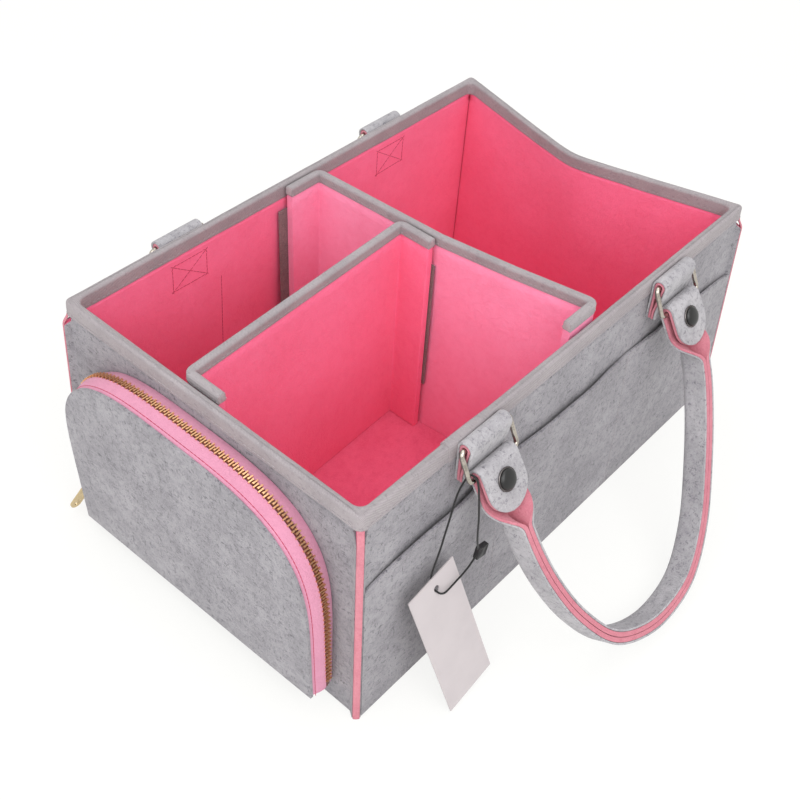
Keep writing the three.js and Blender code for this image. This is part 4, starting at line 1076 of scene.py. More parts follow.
@dataclass
class Carcass:
    """The floor and the four walls, each of grey felt outside and pink felt inside."""

    shape: BodyShape
    seamstress: Seamstress
    across_steps: int = 44
    rows: int = 26
    taper_steps: int = 7
    bend_run: float = 6.0
    bend_radius: float = 2.4
    band_reach: float = 1.4
    felt_behind: float = 0.2
    band_faces: tuple = (0.45, -0.35)
    band_crown: float = 0.25
    band_sink: float = 2.1
    cross_half: float = 14.0
    cross_low: float = 132.0
    cross_high: float = 152.0

    def build(self) -> None:
        """Makes the floor, the walls and the corner bands, and marks their stitching."""
        self._floor()
        for side in WallSide:
            self._wall(side, (0, self.shape.felt), self._seam_felt(), Finish.GREY, Slot.FELT, "felt")
            depths = (self.shape.felt + self.shape.clear, self.shape.wall)
            self._wall(side, depths, self._seam_lining(), Finish.PINK, Slot.LINING, "lining")
        for way_x in (-1, 1):
            for way_y in (-1, 1):
                self._band(way_x, way_y)
        self._sew()

    def _seam_lining(self) -> tuple[float, float]:
        """The lining's two offsets from a corner seam."""
        return self.shape.clear / 2, self.shape.clear / 2 + self.shape.lining

    def _seam_felt(self) -> tuple[float, float]:
        """The felt's two offsets from a corner seam, where it thins out against the lining's flange."""
        inner = self._seam_lining()[1] + self.shape.clear / 4
        return inner, inner + self.shape.felt / 4

    def _floor(self) -> None:
        """Makes the floor's felt and lining."""
        s = self.shape
        inset = s.wall + s.clear
        x = np.linspace(-(s.half_length - inset), s.half_length - inset, 40)
        y = np.linspace(-(s.half_width - inset), s.half_width - inset, 26)
        grid_x, grid_y = np.meshgrid(x, y)
        # The floor's lining takes the darker pink lining copy: painted shade.
        layers = (("floor_felt", 0.0, s.felt, Finish.GREY, Slot.FELT),
                  ("floor_lining", s.felt + s.clear, s.wall, Finish.FLOOR_PINK, Slot.LINING))
        for name, low, high, finish, slot in layers:
            faces = [s.dress(np.stack([grid_x, grid_y, np.full_like(grid_x, z)], axis=-1)) for z in (high, low)]
            settle(soften(sheet(*faces).build(f"{name}_soft", finish)), Body.CADDY, slot, name)

    def _outline(self, side: WallSide, depth: float, squeezed: float, seam: float,
                 stations: Array, lining: bool) -> tuple[Array, Array, Array]:
        """One face of a wall layer, from one flange's tip to the other's.

        Args:
            side: the wall.
            depth: the face's depth behind the outer face.
            squeezed: its depth inside the rim tape.
            seam: the face's offset from the corner seam.
            stations: places along the wall between its bends.
            lining: whether the layer is the lining, which stands out a little further.

        Returns:
            The outline down the wall, just below the tape and inside the tape.
        """
        s = self.shape
        end = side.half_span - depth - math.sqrt(2) * seam
        reach = self.band_reach if lining else self.band_reach - self.felt_behind
        tip = np.array([side.half_span + (reach - s.seam_pinch * seam) / math.sqrt(2),
                        side.half + (reach + s.seam_pinch * seam) / math.sqrt(2)])
        out = side.half - depth
        bend = rounded([(end - self.bend_run, out), (end, out), tuple(tip)], self.bend_radius, 4)
        middle = np.column_stack([stations * (end - self.bend_run) / stations[-1], np.full(len(stations), out)])
        low = np.vstack([(bend * [-1, 1])[::-1], middle[1:-1], bend])
        inner = s.rim_depths["lining"][1]
        narrowed = []
        for cut, face in ((s.wall, depth), (max(s.corner, inner), squeezed)):
            share = (side.half_span - cut - s.clear) / abs(low[:, 0]).max()
            narrowed.append(np.column_stack([low[:, 0] * share, np.full(len(low), side.half - face)]))
        return low, narrowed[0], narrowed[1]

    def _levels(self, foot: float, end: float) -> list[tuple[float, float]]:
        """Heights up a corner, each with how far it has gone in toward the rim tape.

        Args:
            foot: where it starts to go in.
            end: where it is in.

        Returns:
            Height and share of each.
        """
        levels = [(z, 0.0) for z in np.linspace(0, foot, self.rows)]
        return levels + [(foot + (end - foot) * t, t) for t in np.linspace(0, 1, self.taper_steps)[1:]]

    def _wall(self, side: WallSide, depths: tuple[float, float], seam: tuple[float, float], finish: Finish,
              slot: Slot, layer: str) -> None:
        """Makes one layer of one wall.

        Args:
            side: the wall.
            depths: the layer's outer and inner depth.
            seam: its inner and outer offset from the corner seam.
            finish: its finish.
            slot: its slot.
            layer: "felt" or "lining".
        """
        s = self.shape
        stations = np.linspace(-1, 1, self.across_steps)
        seam_top = s.binding_foot - s.clear
        levels = self._levels(seam_top - s.seam_taper, seam_top - s.ledge)
        levels += [(seam_top, 2.0), (s.height - s.tape - s.clear - 4, 2.0), (s.height - s.tape - s.clear, 2.0)]
        faces = []
        squeezed = s.rim_depths[layer]
        for depth, inside, offset in ((depths[0], squeezed[0], seam[1]), (depths[1], squeezed[1], seam[0])):
            low, tucked, high = self._outline(side, depth, inside, offset, stations, layer == "lining")
            rows = []
            for z, stage in levels:
                along, out = (high if stage > 1 else low + (tucked - low) * ease(stage)).T
                level = np.full_like(along, z)
                rows.append(s.dress(side.at(along, out + ripple(side, along, level), level)))
            faces.append(np.array(rows))
        name = f"wall_{side.label}_{layer}"
        piece = sheet(*faces).build(f"{name}_soft", finish)
        settle(soften(piece, 0.5), Body.CADDY, slot, name)

    def _band(self, way_x: int, way_y: int) -> None:
        """Makes the raw pink band that both flanges of a corner show from outside.

        Args:
            way_x: which end of the caddy.
            way_y: which side of it.
        """
        s = self.shape
        seam = self._seam_lining()[1]
        low = (self.band_reach - s.seam_pinch * seam) / math.sqrt(2)
        high = (self.band_reach + s.seam_pinch * seam) / math.sqrt(2)
        top = s.binding_foot + 0.4
        shares = np.linspace(0, 1, 6)
        faces = []
        for lift in self.band_faces:
            rows = []
            for z, stage in self._levels(top - s.seam_taper, top):
                sunk = ease(stage) * self.band_sink
                spots = [(low + (high - low) * t, high + (low - high) * t) for t in shares]
                crown = [self.band_crown * math.sin(math.pi * t) + lift - sunk for t in shares]
                rows.append([(way_x * (s.half_length + a + c), way_y * (s.half_width + b + c), z)
                             for (a, b), c in zip(spots, crown)])
            faces.append(s.dress(np.array(rows)))
        name = f"corner_band_{'plain' if way_x > 0 else 'zip'}_{'far' if way_y > 0 else 'near'}"
        settle(soften(sheet(*faces).build(name, Finish.RAW_PINK), 0.25), Body.CADDY, Slot.LINING)

    def _sew(self) -> None:
        """Marks the pockets' seams inside and the crosses that hold the ring loops."""
        s = self.shape
        z = np.linspace(s.wall + 1, SidePocket.height, 40)
        low, high = self.cross_low, self.cross_high
        for side in (WallSide.NEAR, WallSide.FAR):
            paths = [np.column_stack([np.full_like(z, place), z])
                     for place in (SidePocket.left_stitch, SidePocket.right_stitch)]
            for centre in (NEAR_RINGS.left_x, NEAR_RINGS.right_x):
                left, right = centre - self.cross_half, centre + self.cross_half
                runs = [[(left, low), (right, low), (right, high), (left, high), (left, low)],
                        [(left, low), (right, high)], [(left, high), (right, low)]]
                paths += [spaced(np.array(run, float), 60) for run in runs]
            for along, up in (path.T for path in paths):
                out = s.half_width - s.wall - 0.05 + ripple(side, along, up)
                self.seamstress.sew(Body.CADDY, Finish.PINK_THREAD, s.dress(side.at(along, out, up)))


OUTER_POINTS = 17
ROUND_POINTS = 13


def tape_section(out_face: float, in_face: float, foot: float, top: float, tape: float) -> Array:
    """A folded tape's section.

    Args:
        out_face: where its outer leg's inner face is.
        in_face: where its inner leg's inner face is.
        foot: the height of its edges.
        top: the height of its fold.
        tape: its thickness.

    Returns:
        Points of how far out and how high.
    """
    middle = (out_face + in_face) / 2
    half = (out_face - in_face) / 2 + tape
    drop = 0.8 * half
    plump = 1.05 * tape
    arc = []
    for turn in np.linspace(0, math.pi, ROUND_POINTS):
        across = math.copysign(abs(math.cos(turn)) ** 0.8, math.cos(turn))
        arc.append((middle + half * across, top - drop + drop * math.sin(turn) ** 0.8))
    waist = foot + (top - foot) * 0.45
    return np.array([(out_face + tape, foot), (out_face + plump, waist), *arc,
                     (in_face - plump, waist), (in_face - tape, foot), (in_face, foot),
                     (in_face, top - tape), (out_face, top - tape), (out_face, foot)])


@dataclass
class RimTape:
    """The tape folded over the rim all the way round."""

    shape: BodyShape
    seamstress: Seamstress
    overlap_x: float = -121.5
    overlap_length: float = 40.0
    overlap_lift: float = 0.95
    overlap_sink: float = 0.12
    stitch_lift: float = 0.15
    stitch_up: float = 2.1
    waver: float = 0.3
    fold_depth: float = 4.0

    def build(self) -> None:
        """Makes the tape, its overlapped end and its stitching."""
        s = self.shape
        profile = tape_section(s.clear - s.rim_sink, s.tape - s.rim_inset, s.binding_foot, s.height, s.tape)
        piece = loft(self._sections(profile), True).build("rim_tape_soft", Finish.TAPE)
        settle(soften(piece, 0.25), Body.CADDY, Slot.TAPE, "rim_binding")
        self._overlap(profile[:OUTER_POINTS])
        for out in (s.rim_overhang + self.stitch_lift, -s.rim_inset - self.stitch_lift):
            line = self._sections(np.array([[out, s.binding_foot + self.stitch_up]]))[:, 0]
            self.seamstress.sew(Body.CADDY, Finish.THREAD, np.vstack([line, line[:1]]))

    def _outline(self, out: float) -> Array:
        """The rim's outline at a distance out from the walls' outer faces."""
        s = self.shape
        radius = s.corner + out if out > -s.felt else s.inner_corner
        centre = np.array([s.half_length, s.half_width]) + out - radius
        arcs = []
        for quarter, sign in enumerate(((1, 1), (-1, 1), (-1, -1), (1, -1))):
            angle = np.linspace(quarter, quarter + 1, 7) * math.pi / 2
            arcs.append(centre * sign + radius * np.column_stack([np.cos(angle), np.sin(angle)]))
        line = []
        for arc, after in zip(arcs, arcs[1:] + arcs[:1]):
            line += [arc, np.linspace(arc[-1], after[0], 60)[1:-1]]
        return np.vstack(line)

    def _sections(self, profile: Array) -> Array:
        """The hand-sewn tape's sections along its path.

        Args:
            profile: how far out and how high each corner of the section is.

        Returns:
            Sections by points by 3.
        """
        spot = np.stack([self._outline(out) for out in profile[:, 0]], axis=1)
        run = _runs(spot[:, 0])
        turn = 2 * math.pi * run / (run[-1] + 1)
        wander = self.waver * (np.sin(9 * turn + 1) + 0.6 * np.sin(23 * turn) + 0.4 * np.sin(41 * turn + 2))
        low = profile[None, :, 1] < self.shape.height - self.fold_depth
        height = profile[None, :, 1] + np.where(low, 0.6 * wander[:, None], -0.5 * np.abs(wander)[:, None])
        return self.shape.dress(np.concatenate([spot, height[..., None]], axis=-1))

    def _overlap(self, outer: Array) -> None:
        """Lays the tape's free end over its start, beside the near left loop.

        Args:
            outer: the outer face of the tape's section.
        """
        x = np.linspace(self.overlap_x, self.overlap_x + self.overlap_length, 24)
        rise = self.overlap_lift * (1 - ((x - x[0]) / self.overlap_length) ** 2) - self.overlap_sink
        away = outer - outer.mean(axis=0)
        away /= np.linalg.norm(away, axis=1, keepdims=True)
        under = outer - away * 0.25
        sections = []
        for station, lift in zip(x, rise):
            ring = np.vstack([outer + away * max(lift, -0.1), under[::-1]])
            y = -(self.shape.half_width + ring[:, 0])
            sections.append(self.shape.dress(np.column_stack([np.full(len(ring), station), y, ring[:, 1]])))
        piece = loft(np.array(sections), False).build("rim_tape_end", Finish.TAPE)
        settle(soften(piece, 0.15), Body.CADDY, Slot.TAPE)


@dataclass
class SidePocket:
    """One long side pocket, stitched down into three."""

    shape: BodyShape
    seamstress: Seamstress
    side: WallSide
    height: float = 121.5
    corner_drop: float = 11.0
    corner_reach: float = 30.0
    bulge: float = 2.3
    end_run: float = 20.0
    left_stitch: float = -72.0
    right_stitch: float = 57.0

    def _seams(self) -> list[float]:
        """Where the pocket is stitched to the wall, from end to end."""
        s = self.shape
        end = s.half_length - math.sqrt(2) * (s.clear / 2 + s.lining + s.clear / 4)
        return [-end, self.left_stitch, self.right_stitch, end]

    def _stand_off(self, x: Array, z: Array) -> Array:
        """How far the pocket stands off its wall."""
        seams = self._seams()
        out = np.zeros_like(x)
        for low, high in zip(seams, seams[1:]):
            inside = (x >= low) & (x <= high)
            along = np.clip((x - low) / (high - low), 0, 1)
            out = np.where(inside, np.sin(math.pi * along) ** 1.1, out)
        return self.bulge * (z / self.height) ** 2 * out

    def _top(self, x: Array) -> Array:
        """How high the pocket's edge runs, a little lower where it's sewn into the corners."""
        from_end = self.shape.half_length - np.abs(x)
        return self.height - self.corner_drop * np.exp(-from_end / self.corner_reach)

    def build(self) -> None:
        """Makes the pocket and marks its stitching."""
        s = self.shape
        seams = self._seams()
        x = np.unique(np.concatenate([np.linspace(a, b, 25) for a, b in zip(seams, seams[1:])]))
        grid_x, grid_z = np.meshgrid(x, np.linspace(0, self.height, 16))
        grid_z = grid_z * self._top(grid_x) / self.height
        faces = []
        for offset in (s.felt, 0.0):
            out = s.half_width + s.clear + offset + self._stand_off(grid_x, grid_z)
            out = out + ripple(self.side, grid_x, grid_z)
            run_out = np.clip((np.abs(grid_x) - seams[3] + self.end_run) / self.end_run, 0, 1)
            along = grid_x + np.sign(grid_x) * run_out * (s.clear + offset)
            faces.append(s.dress(self.side.at(along, out, grid_z)))
        name = f"side_pocket_{self.side.label}"
        piece = sheet(*faces).build(f"{name}_soft", Finish.GREY)
        settle(soften(piece, 0.5), Body.CADDY, Slot.FELT, name)
        z = np.linspace(3, self.height - 1, 40)
        for place in seams[1:3]:
            along = np.full_like(z, place)
            out = s.half_width + s.clear + s.felt + 0.12 + self._stand_off(along, z) + ripple(self.side, along, z)
            self.seamstress.sew(Body.CADDY, Finish.THREAD, s.dress(self.side.at(along, out, z)))


# ---------------------------------------------------------------- the zip pouch


@dataclass
class EndPouch:
    """The zip pouch on the end wall: a felt front on an arch of pink gusset with a copper zip."""

    shape: BodyShape
    seamstress: Seamstress
    half_width: float = 100.0
    height: float = 152.0
    shoulder: float = 60.0
    foot: float = 14.5
    foot_slope: float = -0.045
    far_lean: float = 9.0
    zip_depth_at_floor: float = 9.0
    depth_at_floor: float = 15.0
    depth_at_top: float = 20.5
    power: float = 3.4
    swell: float = 0.14
    zip_share: float = 0.47
    tape_half: float = 1.5
    gusset: float = 1.5
    front_lip: float = 0.8
    front_rings: int = 22
    puff: float = 0.9
    dent: float = 0.5
    stitch_share: float = 0.9
    tooth_pitch: float = 3.6
    tooth_rise: float = 0.35
    tooth_back: float = 0.7
    teeth_left_out: int = 3
    lean_top: float = 110.0
    stations: int = 150

    def depth(self, z: Array) -> Array:
        """How deep the pouch stands off the wall at a height."""
        return self.depth_at_floor + (self.depth_at_top - self.depth_at_floor) / self.height * z

    def zip_at(self, z: Array) -> Array:
        """How far off the wall the zip's middle line is at a height."""
        low = self.zip_depth_at_floor
        return self.zip_share * (low + (self.depth_at_top - low) / self.height * z)

    def lean(self, y: Array, z: Array) -> Array:
        """How far the pouch's front draws in across the wall, most at the foot of the far leg."""
        return -self.far_lean * np.clip(1 - z / self.lean_top, 0, 1) * np.clip(y / self.half_width, 0, 1)

    def foot_at(self, y: Array) -> Array:
        """How high the pouch's lower edge hangs at a place across the wall."""
        return self.foot + self.foot_slope * y

    def arch(self, count: int) -> tuple[Array, Array]:
        """Evenly spaced places along the arch, and the normals out of it.

        Args:
            count: how many.

        Returns:
            Places and normals, as (y, z).
        """
        angle = np.linspace(math.pi, 0, 400)
        cosine = np.cos(angle)
        across = np.sign(cosine) * np.abs(cosine) ** (2 / self.power)
        up = np.abs(np.sin(angle)) ** (2 / self.power)
        curve = np.column_stack([self.half_width * across, self.shoulder + (self.height - self.shoulder) * up])
        legs = [[[side * self.half_width, self.foot_at(side * self.half_width)]] for side in (-1, 1)]
        place = spaced(np.vstack([legs[0], curve, legs[1]]), count)
        return place, normals_of(place)

    def surface(self, place: Array, normal: Array, off_wall: Array, above: Array) -> Array:
        """Points on or above the gusset.

        Args:
            place: places along the arch.
            normal: the arch's normals there.
            off_wall: distances off the wall.
            above: distances above the cloth.

        Returns:
            The dressed positions.
        """
        depth = self.depth(place[..., 1])
        swell = self.swell * depth * np.sin(math.pi * np.clip(off_wall / depth, 0, 1))
        spot = place + normal * (swell + above)[..., None]
        middle = self.zip_at(place[..., 1])
        front = np.clip((off_wall - middle) / (depth - middle), 0, 1)
        spot[..., 0] += front * self.lean(spot[..., 0], spot[..., 1])
        x = -(self.shape.half_length + self.shape.clear + off_wall)
        high = np.maximum(self.foot_at(spot[..., 0]), spot[..., 1])
        return self.shape.dress(np.stack([x, spot[..., 0], high], axis=-1))

    def _band(self, low: Callable, high: Callable, top: float, under: float, steps: int) -> Skin:
        """A strip of the gusset.

        Args:
            low: its near edge off the wall, from the height.
            high: its far edge off the wall, from the height.
            top: how far above the cloth's line its face is.
            under: how far below the line its back is.
            steps: faces across it.

        Returns:
            The strip.
        """
        place, normal = self.arch(self.stations)
        start, end = low(place[:, 1]), high(place[:, 1])
        faces = []
        for above in (top, -under):
            rows = [self.surface(place, normal, start + (end - start) * t,
                                 np.full(len(place), above)) for t in np.linspace(0, 1, steps)]
            faces.append(np.array(rows))
        return sheet(*faces)

    def build(self) -> None:
        """Makes the pouch's front, gusset and zip, and marks its stitching."""
        edge = self.tape_half + self.shape.clear
        back = self._band(lambda z: 0 * z, lambda z: self.zip_at(z) - edge, 0.0, self.gusset, 6)
        front = self._band(lambda z: self.zip_at(z) + edge, self.depth, 0.0, self.gusset, 8)
        settle(soften(back.build("gusset_back_soft", Finish.GUSSET), 0.35), Body.CADDY, Slot.GUSSET,
               "pouch_gusset_back")
        settle(soften(front.build("gusset_front_soft", Finish.GUSSET), 0.35), Body.LID, Slot.GUSSET,
               "pouch_gusset_front")
        self._front()
        self._zip()

    def _front(self) -> None:
        """Makes the felt front as rings of points inside its outline."""
        s = self.shape
        place, normal = self.arch(self.stations)
        line = self.surface(place, normal, self.stitch_share * self.depth(place[:, 1]), np.full(len(place), 0.05))
        self.seamstress.sew(Body.LID, Finish.PINK_THREAD, line)
        rim = place + normal * self.front_lip
        rim[:, 0] += self.lean(rim[:, 0], rim[:, 1])
        base = self.foot_at(rim[:, 0])
        rim[:, 1] = np.maximum(base, rim[:, 1])
        shares = np.linspace(1, 0.002, self.front_rings)
        grid = np.array([np.column_stack([rim[:, 0] * share,
                                          self.foot_at(rim[:, 0] * share) + (rim[:, 1] - base) * share])
                         for share in shares])
        reach = (1 - shares)[:, None]
        puff = self.puff * np.sin(math.pi * np.clip(reach, 0, 1) * 0.9) * np.clip((grid[..., 1] - 8) / 40, 0, 1)
        dent = self.dent * np.cos(grid[..., 0] / 27) * np.clip((grid[..., 1] - 20) / 60, 0, 1) * reach
        faces = []
        for thick in (s.felt, 0.0):
            off = self.depth(grid[..., 1]) + s.clear + thick + puff + dent
            x = -(s.half_length + s.clear + off)
            faces.append(s.dress(np.stack([x, grid[..., 0], grid[..., 1]], axis=-1)))
        piece = sheet(*faces).build("pouch_front_soft", Finish.GREY)
        settle(soften(piece, 0.5), Body.LID, Slot.FELT, "pouch_front")

    def _zip(self) -> None:
        """Makes both halves of the zip: a woven tape and a row of teeth."""
        gap = self.shape.clear / 2
        halves = ((-1, "back", Body.CADDY), (1, "front", Body.LID))
        tree = RepeatTree.teeth()
        for sign, label, body in halves:
            edges = sorted((sign * self.tape_half, sign * gap))
            tape = self._band(lambda z: self.zip_at(z) + edges[0], lambda z: self.zip_at(z) + edges[1], -0.1, 1.0, 3)
            settle(soften(tape.build(f"zip_tape_{label}", Finish.ZIP_TAPE), 0.2), body, Slot.COPPER,
                   f"zip_chain_{label}")
            settle(self._teeth(sign, label, tree), body, Slot.COPPER)

    def _teeth(self, sign: int, label: str, tree: bpy.types.NodeTree) -> bpy.types.Object:
        """Sets one half's teeth along the arch.

        Args:
            sign: which half.
            label: its name.
            tree: the tooth tree.

        Returns:
            The row of teeth.
        """
        length = _runs(self.arch(400)[0])[-1]
        count = int(length / self.tooth_pitch) * 2
        place, normal = self.arch(count + 1)
        keep = np.arange(len(place)) % 2 == (0 if sign > 0 else 1)
        keep[:self.teeth_left_out] = keep[-self.teeth_left_out:] = False
        middle = self.zip_at(place[:, 1])
        above = np.full(len(place), self.tooth_rise)
        roots = self.surface(place, normal, middle + sign * self.tooth_back, above)
        ahead = self.surface(place, normal, middle, above)
        rise = self.surface(place, normal, middle, above + 1) - ahead
        mesh = bpy.data.meshes.new("tooth_points")
        mesh.from_pydata((roots[keep] * MM).tolist(), [], [])
        for name, vectors in (("rise", rise), ("reach", ahead - roots)):
            unit = vectors[keep] / np.linalg.norm(vectors[keep], axis=1, keepdims=True)
            attribute = mesh.attributes.new(name, "FLOAT_VECTOR", "POINT")
            attribute.data.foreach_set("vector", unit.ravel())
        values = {"Metal": material_of(Finish.COPPER)}
        return RepeatTree.apply(new_object("tooth_points", mesh), tree, values, f"zip_teeth_{label}")


# ---------------------------------------------------------------- dividers


@dataclass
class Divider:
    """A felt divider on a plan path, with tape over its top and hook strips on its flaps."""

    shape: BodyShape
    seamstress: Seamstress
    name: str
    body: Body
    corners: list[tuple[float, float]]
    top: Callable[[Array], Array]
    strips: list[str]
    corner: float = 4.0
    drop: float = 7.0
    rim_half: float = 1.6
    stitch_up: float = 1.8
    sway: float = 0.9
    finish: Finish = Finish.PINK

    def build(self) -> None:
        """Makes the panel, its tape and its strips, and marks its stitching."""
        s = self.shape
        path = split_long(rounded(self.corners, self.corner), 6)
        normal = normals_of(path)
        foot, top = s.wall + s.clear, self.top(path)
        shoulder = top - self.drop - s.ledge
        levels = [(foot + (shoulder - foot) * t, s.lining) for t in np.linspace(0, 1, 24)]
        levels += [(top - self.drop - s.clear, self.rim_half), (top - s.tape - s.clear, self.rim_half)]
        faces = []
        for side in (1, -1):
            rows = []
            for z, half in levels:
                spot = path + normal * (side * half + self._sway(path, (z - foot) / (top - foot)))[:, None]
                rows.append(np.column_stack([spot, z]))
            faces.append(np.array(rows))
        panel = sheet(*faces).build(f"{self.name}_soft", self.finish)
        settle(soften(panel, 0.8, 3), self.body, Slot.LINING, f"{self.name}_panel")
        channel = self.rim_half + s.clear
        profile = tape_section(channel, -channel, -self.drop, 0, s.tape)
        spot = path[:, None, :] + normal[:, None, :] * profile[None, :, 0:1]
        height = top[:, None] + profile[None, :, 1]
        sections = np.concatenate([spot, height[..., None]], axis=-1)
        tape = loft(sections, False).build(f"{self.name}_tape", Finish.TAPE)
        settle(soften(tape, 0.2), self.body, Slot.TAPE, f"{self.name}_binding")
        for end, step in ((0, 1), (-1, -2)):
            self._close_tape(sections[end, :OUTER_POINTS], path[end] - path[step], f"{self.name}_tape_end_{abs(step)}")
        for side in (-1, 1):
            out = side * (channel + s.tape * 1.05 + 0.1)
            stitch = np.column_stack([path + normal * out, top - self.drop + self.stitch_up])
            self.seamstress.sew(self.body, Finish.THREAD, stitch)
        for strip in self.strips:
            self._strip(strip)

    def _close_tape(self, outer: Array, way: Array, name: str) -> None:
        """Folds the tape in over one end of the panel.

        Args:
            outer: the outer face of the tape's last section.
            way: along the path, out of the panel.
            name: the piece's name.
        """
        ahead = np.append(way / np.linalg.norm(way), 0.0)
        middle = outer.mean(axis=0)
        sections = [middle + (outer - middle) * share + ahead * step
                    for step, share in ((-0.3, 0.99), (0.35, 0.985), (0.7, 0.93), (0.85, 0.8))]
        piece = loft(np.array(sections), False).build(name, Finish.TAPE)
        settle(piece, self.body, Slot.TAPE)

    def _sway(self, path: Array, level: Array) -> Array:
        """The panel's slight unevenness, nothing at its top, foot and flaps."""
        run = _runs(path)
        share = run / run[-1]
        ends = np.clip(np.minimum(share, 1 - share) / 0.25, 0, 1)
        window = np.sin(math.pi * np.clip(level * 1.08, 0, 1))
        return self.sway * ends * window * (np.sin(run / 31) + 0.5 * np.sin(run / 17 + 5 * level))

    def _strip(self, node: str) -> None:
        """Makes a hook strip where its CAD node is."""
        low, high = (np.array(corner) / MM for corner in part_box(node))
        size = high - low
        thin = int(np.argmin(size[:2]))
        wide = 1 - thin
        across = np.linspace(low[wide], high[wide], 12)
        up = np.linspace(low[2], high[2], 40)
        grid_a, grid_z = np.meshgrid(across, up)
        faces = []
        for place in (high[thin], low[thin]):
            grid = np.zeros(grid_a.shape + (3,))
            grid[..., wide], grid[..., thin], grid[..., 2] = grid_a, place, grid_z
            faces.append(grid)
        # The hook strip's finish carries painted shade and painted pink reflection.
        piece = sheet(*faces).build(f"{node}_soft", Finish.HOOK)
        settle(soften(piece, 0.3), self.body, Slot.HOOK, node)


@dataclass(frozen=True)
class DividerPlan:
    """Where the two dividers stand, how long their flaps are and how high they reach."""

    shape: BodyShape
    strip: float = 1.4
    cross_near_x: float = 24.0
    cross_near_flap: float = 27.0
    cross_bow: tuple = ((17, -55), (12, 0))
    cross_far_x: float = 13.0
    cross_far_flap: float = 28.0
    cross_near_top: float = 177.0
    cross_fall: float = 8.0
    part_flap: float = 26.0
    part_front_y: float = 19.7
    part_back_y: float = 27.7
    part_front_top: float = 171.5
    part_rise: float = 1.5

    def dividers(self, seamstress: Seamstress) -> list[Divider]:
        """The divider across the box and the partition in the zip end's half.

        Args:
            seamstress: gathers their stitching.

        Returns:
            Both dividers, ready to build.
        """
        s = self.shape
        held = s.clear + self.strip + s.clear + s.lining
        end_y = s.half_width - s.rim_inset - held
        front_x = -(s.half_length - s.rim_inset - held)
        back_x = self.cross_bow[1][0] - (Divider.rim_half + s.clear + s.tape) - held
        near_x, far_x, front_y, back_y = self.cross_near_x, self.cross_far_x, self.part_front_y, self.part_back_y
        cross = [(near_x - self.cross_near_flap, -end_y), (near_x, -end_y), *self.cross_bow, (far_x, end_y),
                 (far_x - self.cross_far_flap, end_y)]
        part = [(front_x, front_y - self.part_flap), (front_x, front_y), (back_x, back_y),
                (back_x, back_y - self.part_flap)]

        def cross_top(path: Array) -> Array:
            """The cross divider's height, falling from the near side to the far one."""
            return self.cross_near_top - self.cross_fall * (path[:, 1] + end_y) / (2 * end_y)

        def part_top(path: Array) -> Array:
            """The partition's height, rising from its front to its back."""
            return self.part_front_top + self.part_rise * (path[:, 0] - front_x) / (back_x - front_x)

        # The cross divider takes the lighter pink lining copy: painted light.
        return [Divider(s, seamstress, "cross_divider", Body.CROSS, cross, cross_top,
                        ["hook_strip_cross_near", "hook_strip_cross_far"], finish=Finish.PALE_PINK),
                Divider(s, seamstress, "partition", Body.PARTITION, part, part_top,
                        ["hook_strip_partition_front", "hook_strip_partition_back"])]


# ---------------------------------------------------------------- rings, loops and handles


@dataclass(frozen=True)
class RingSizes:
    """Where the wire rings hang and how big they are."""

    bar_drop: float
    handle_tilt: float
    left_x: float = -98.0
    right_x: float = 92.0
    wire: float = 1.5
    half_width: float = 20.5
    height: float = 19.0
    corner: float = 2.5
    tilt: float = math.radians(26.2)
    loop_width: float = 35.0
    loop_foot: float = 103.0
    loop_pinch: float = 12.0
    felt: float = 1.4
    lining: float = 1.6

    @property
    def roll(self) -> float:
        """The middle line's radius where a loop's felt and lining go round a bar."""
        return self.wire + SHAPE.clear + self.lining + SHAPE.clear / 2

    @property
    def bar_height(self) -> float:
        """How high the upper bar is."""
        return SHAPE.height - self.bar_drop

    @property
    def bar_y(self) -> float:
        """How far the upper bar is from the middle."""
        stand_off = SHAPE.rim_overhang + SHAPE.clear + self.roll + SHAPE.clear / 2 + self.felt
        return SHAPE.side_face(self.bar_height) + stand_off

    @property
    def low_y(self) -> float:
        """How far the lower bar is from the middle."""
        return self.bar_y + self.height * math.sin(self.tilt)

    @property
    def low_z(self) -> float:
        """How high the lower bar is."""
        return self.bar_height - self.height * math.cos(self.tilt)


NEAR_RINGS = RingSizes(bar_drop=3.0, handle_tilt=math.radians(31.7))
FAR_RINGS = RingSizes(bar_drop=6.0, handle_tilt=math.radians(34.2))


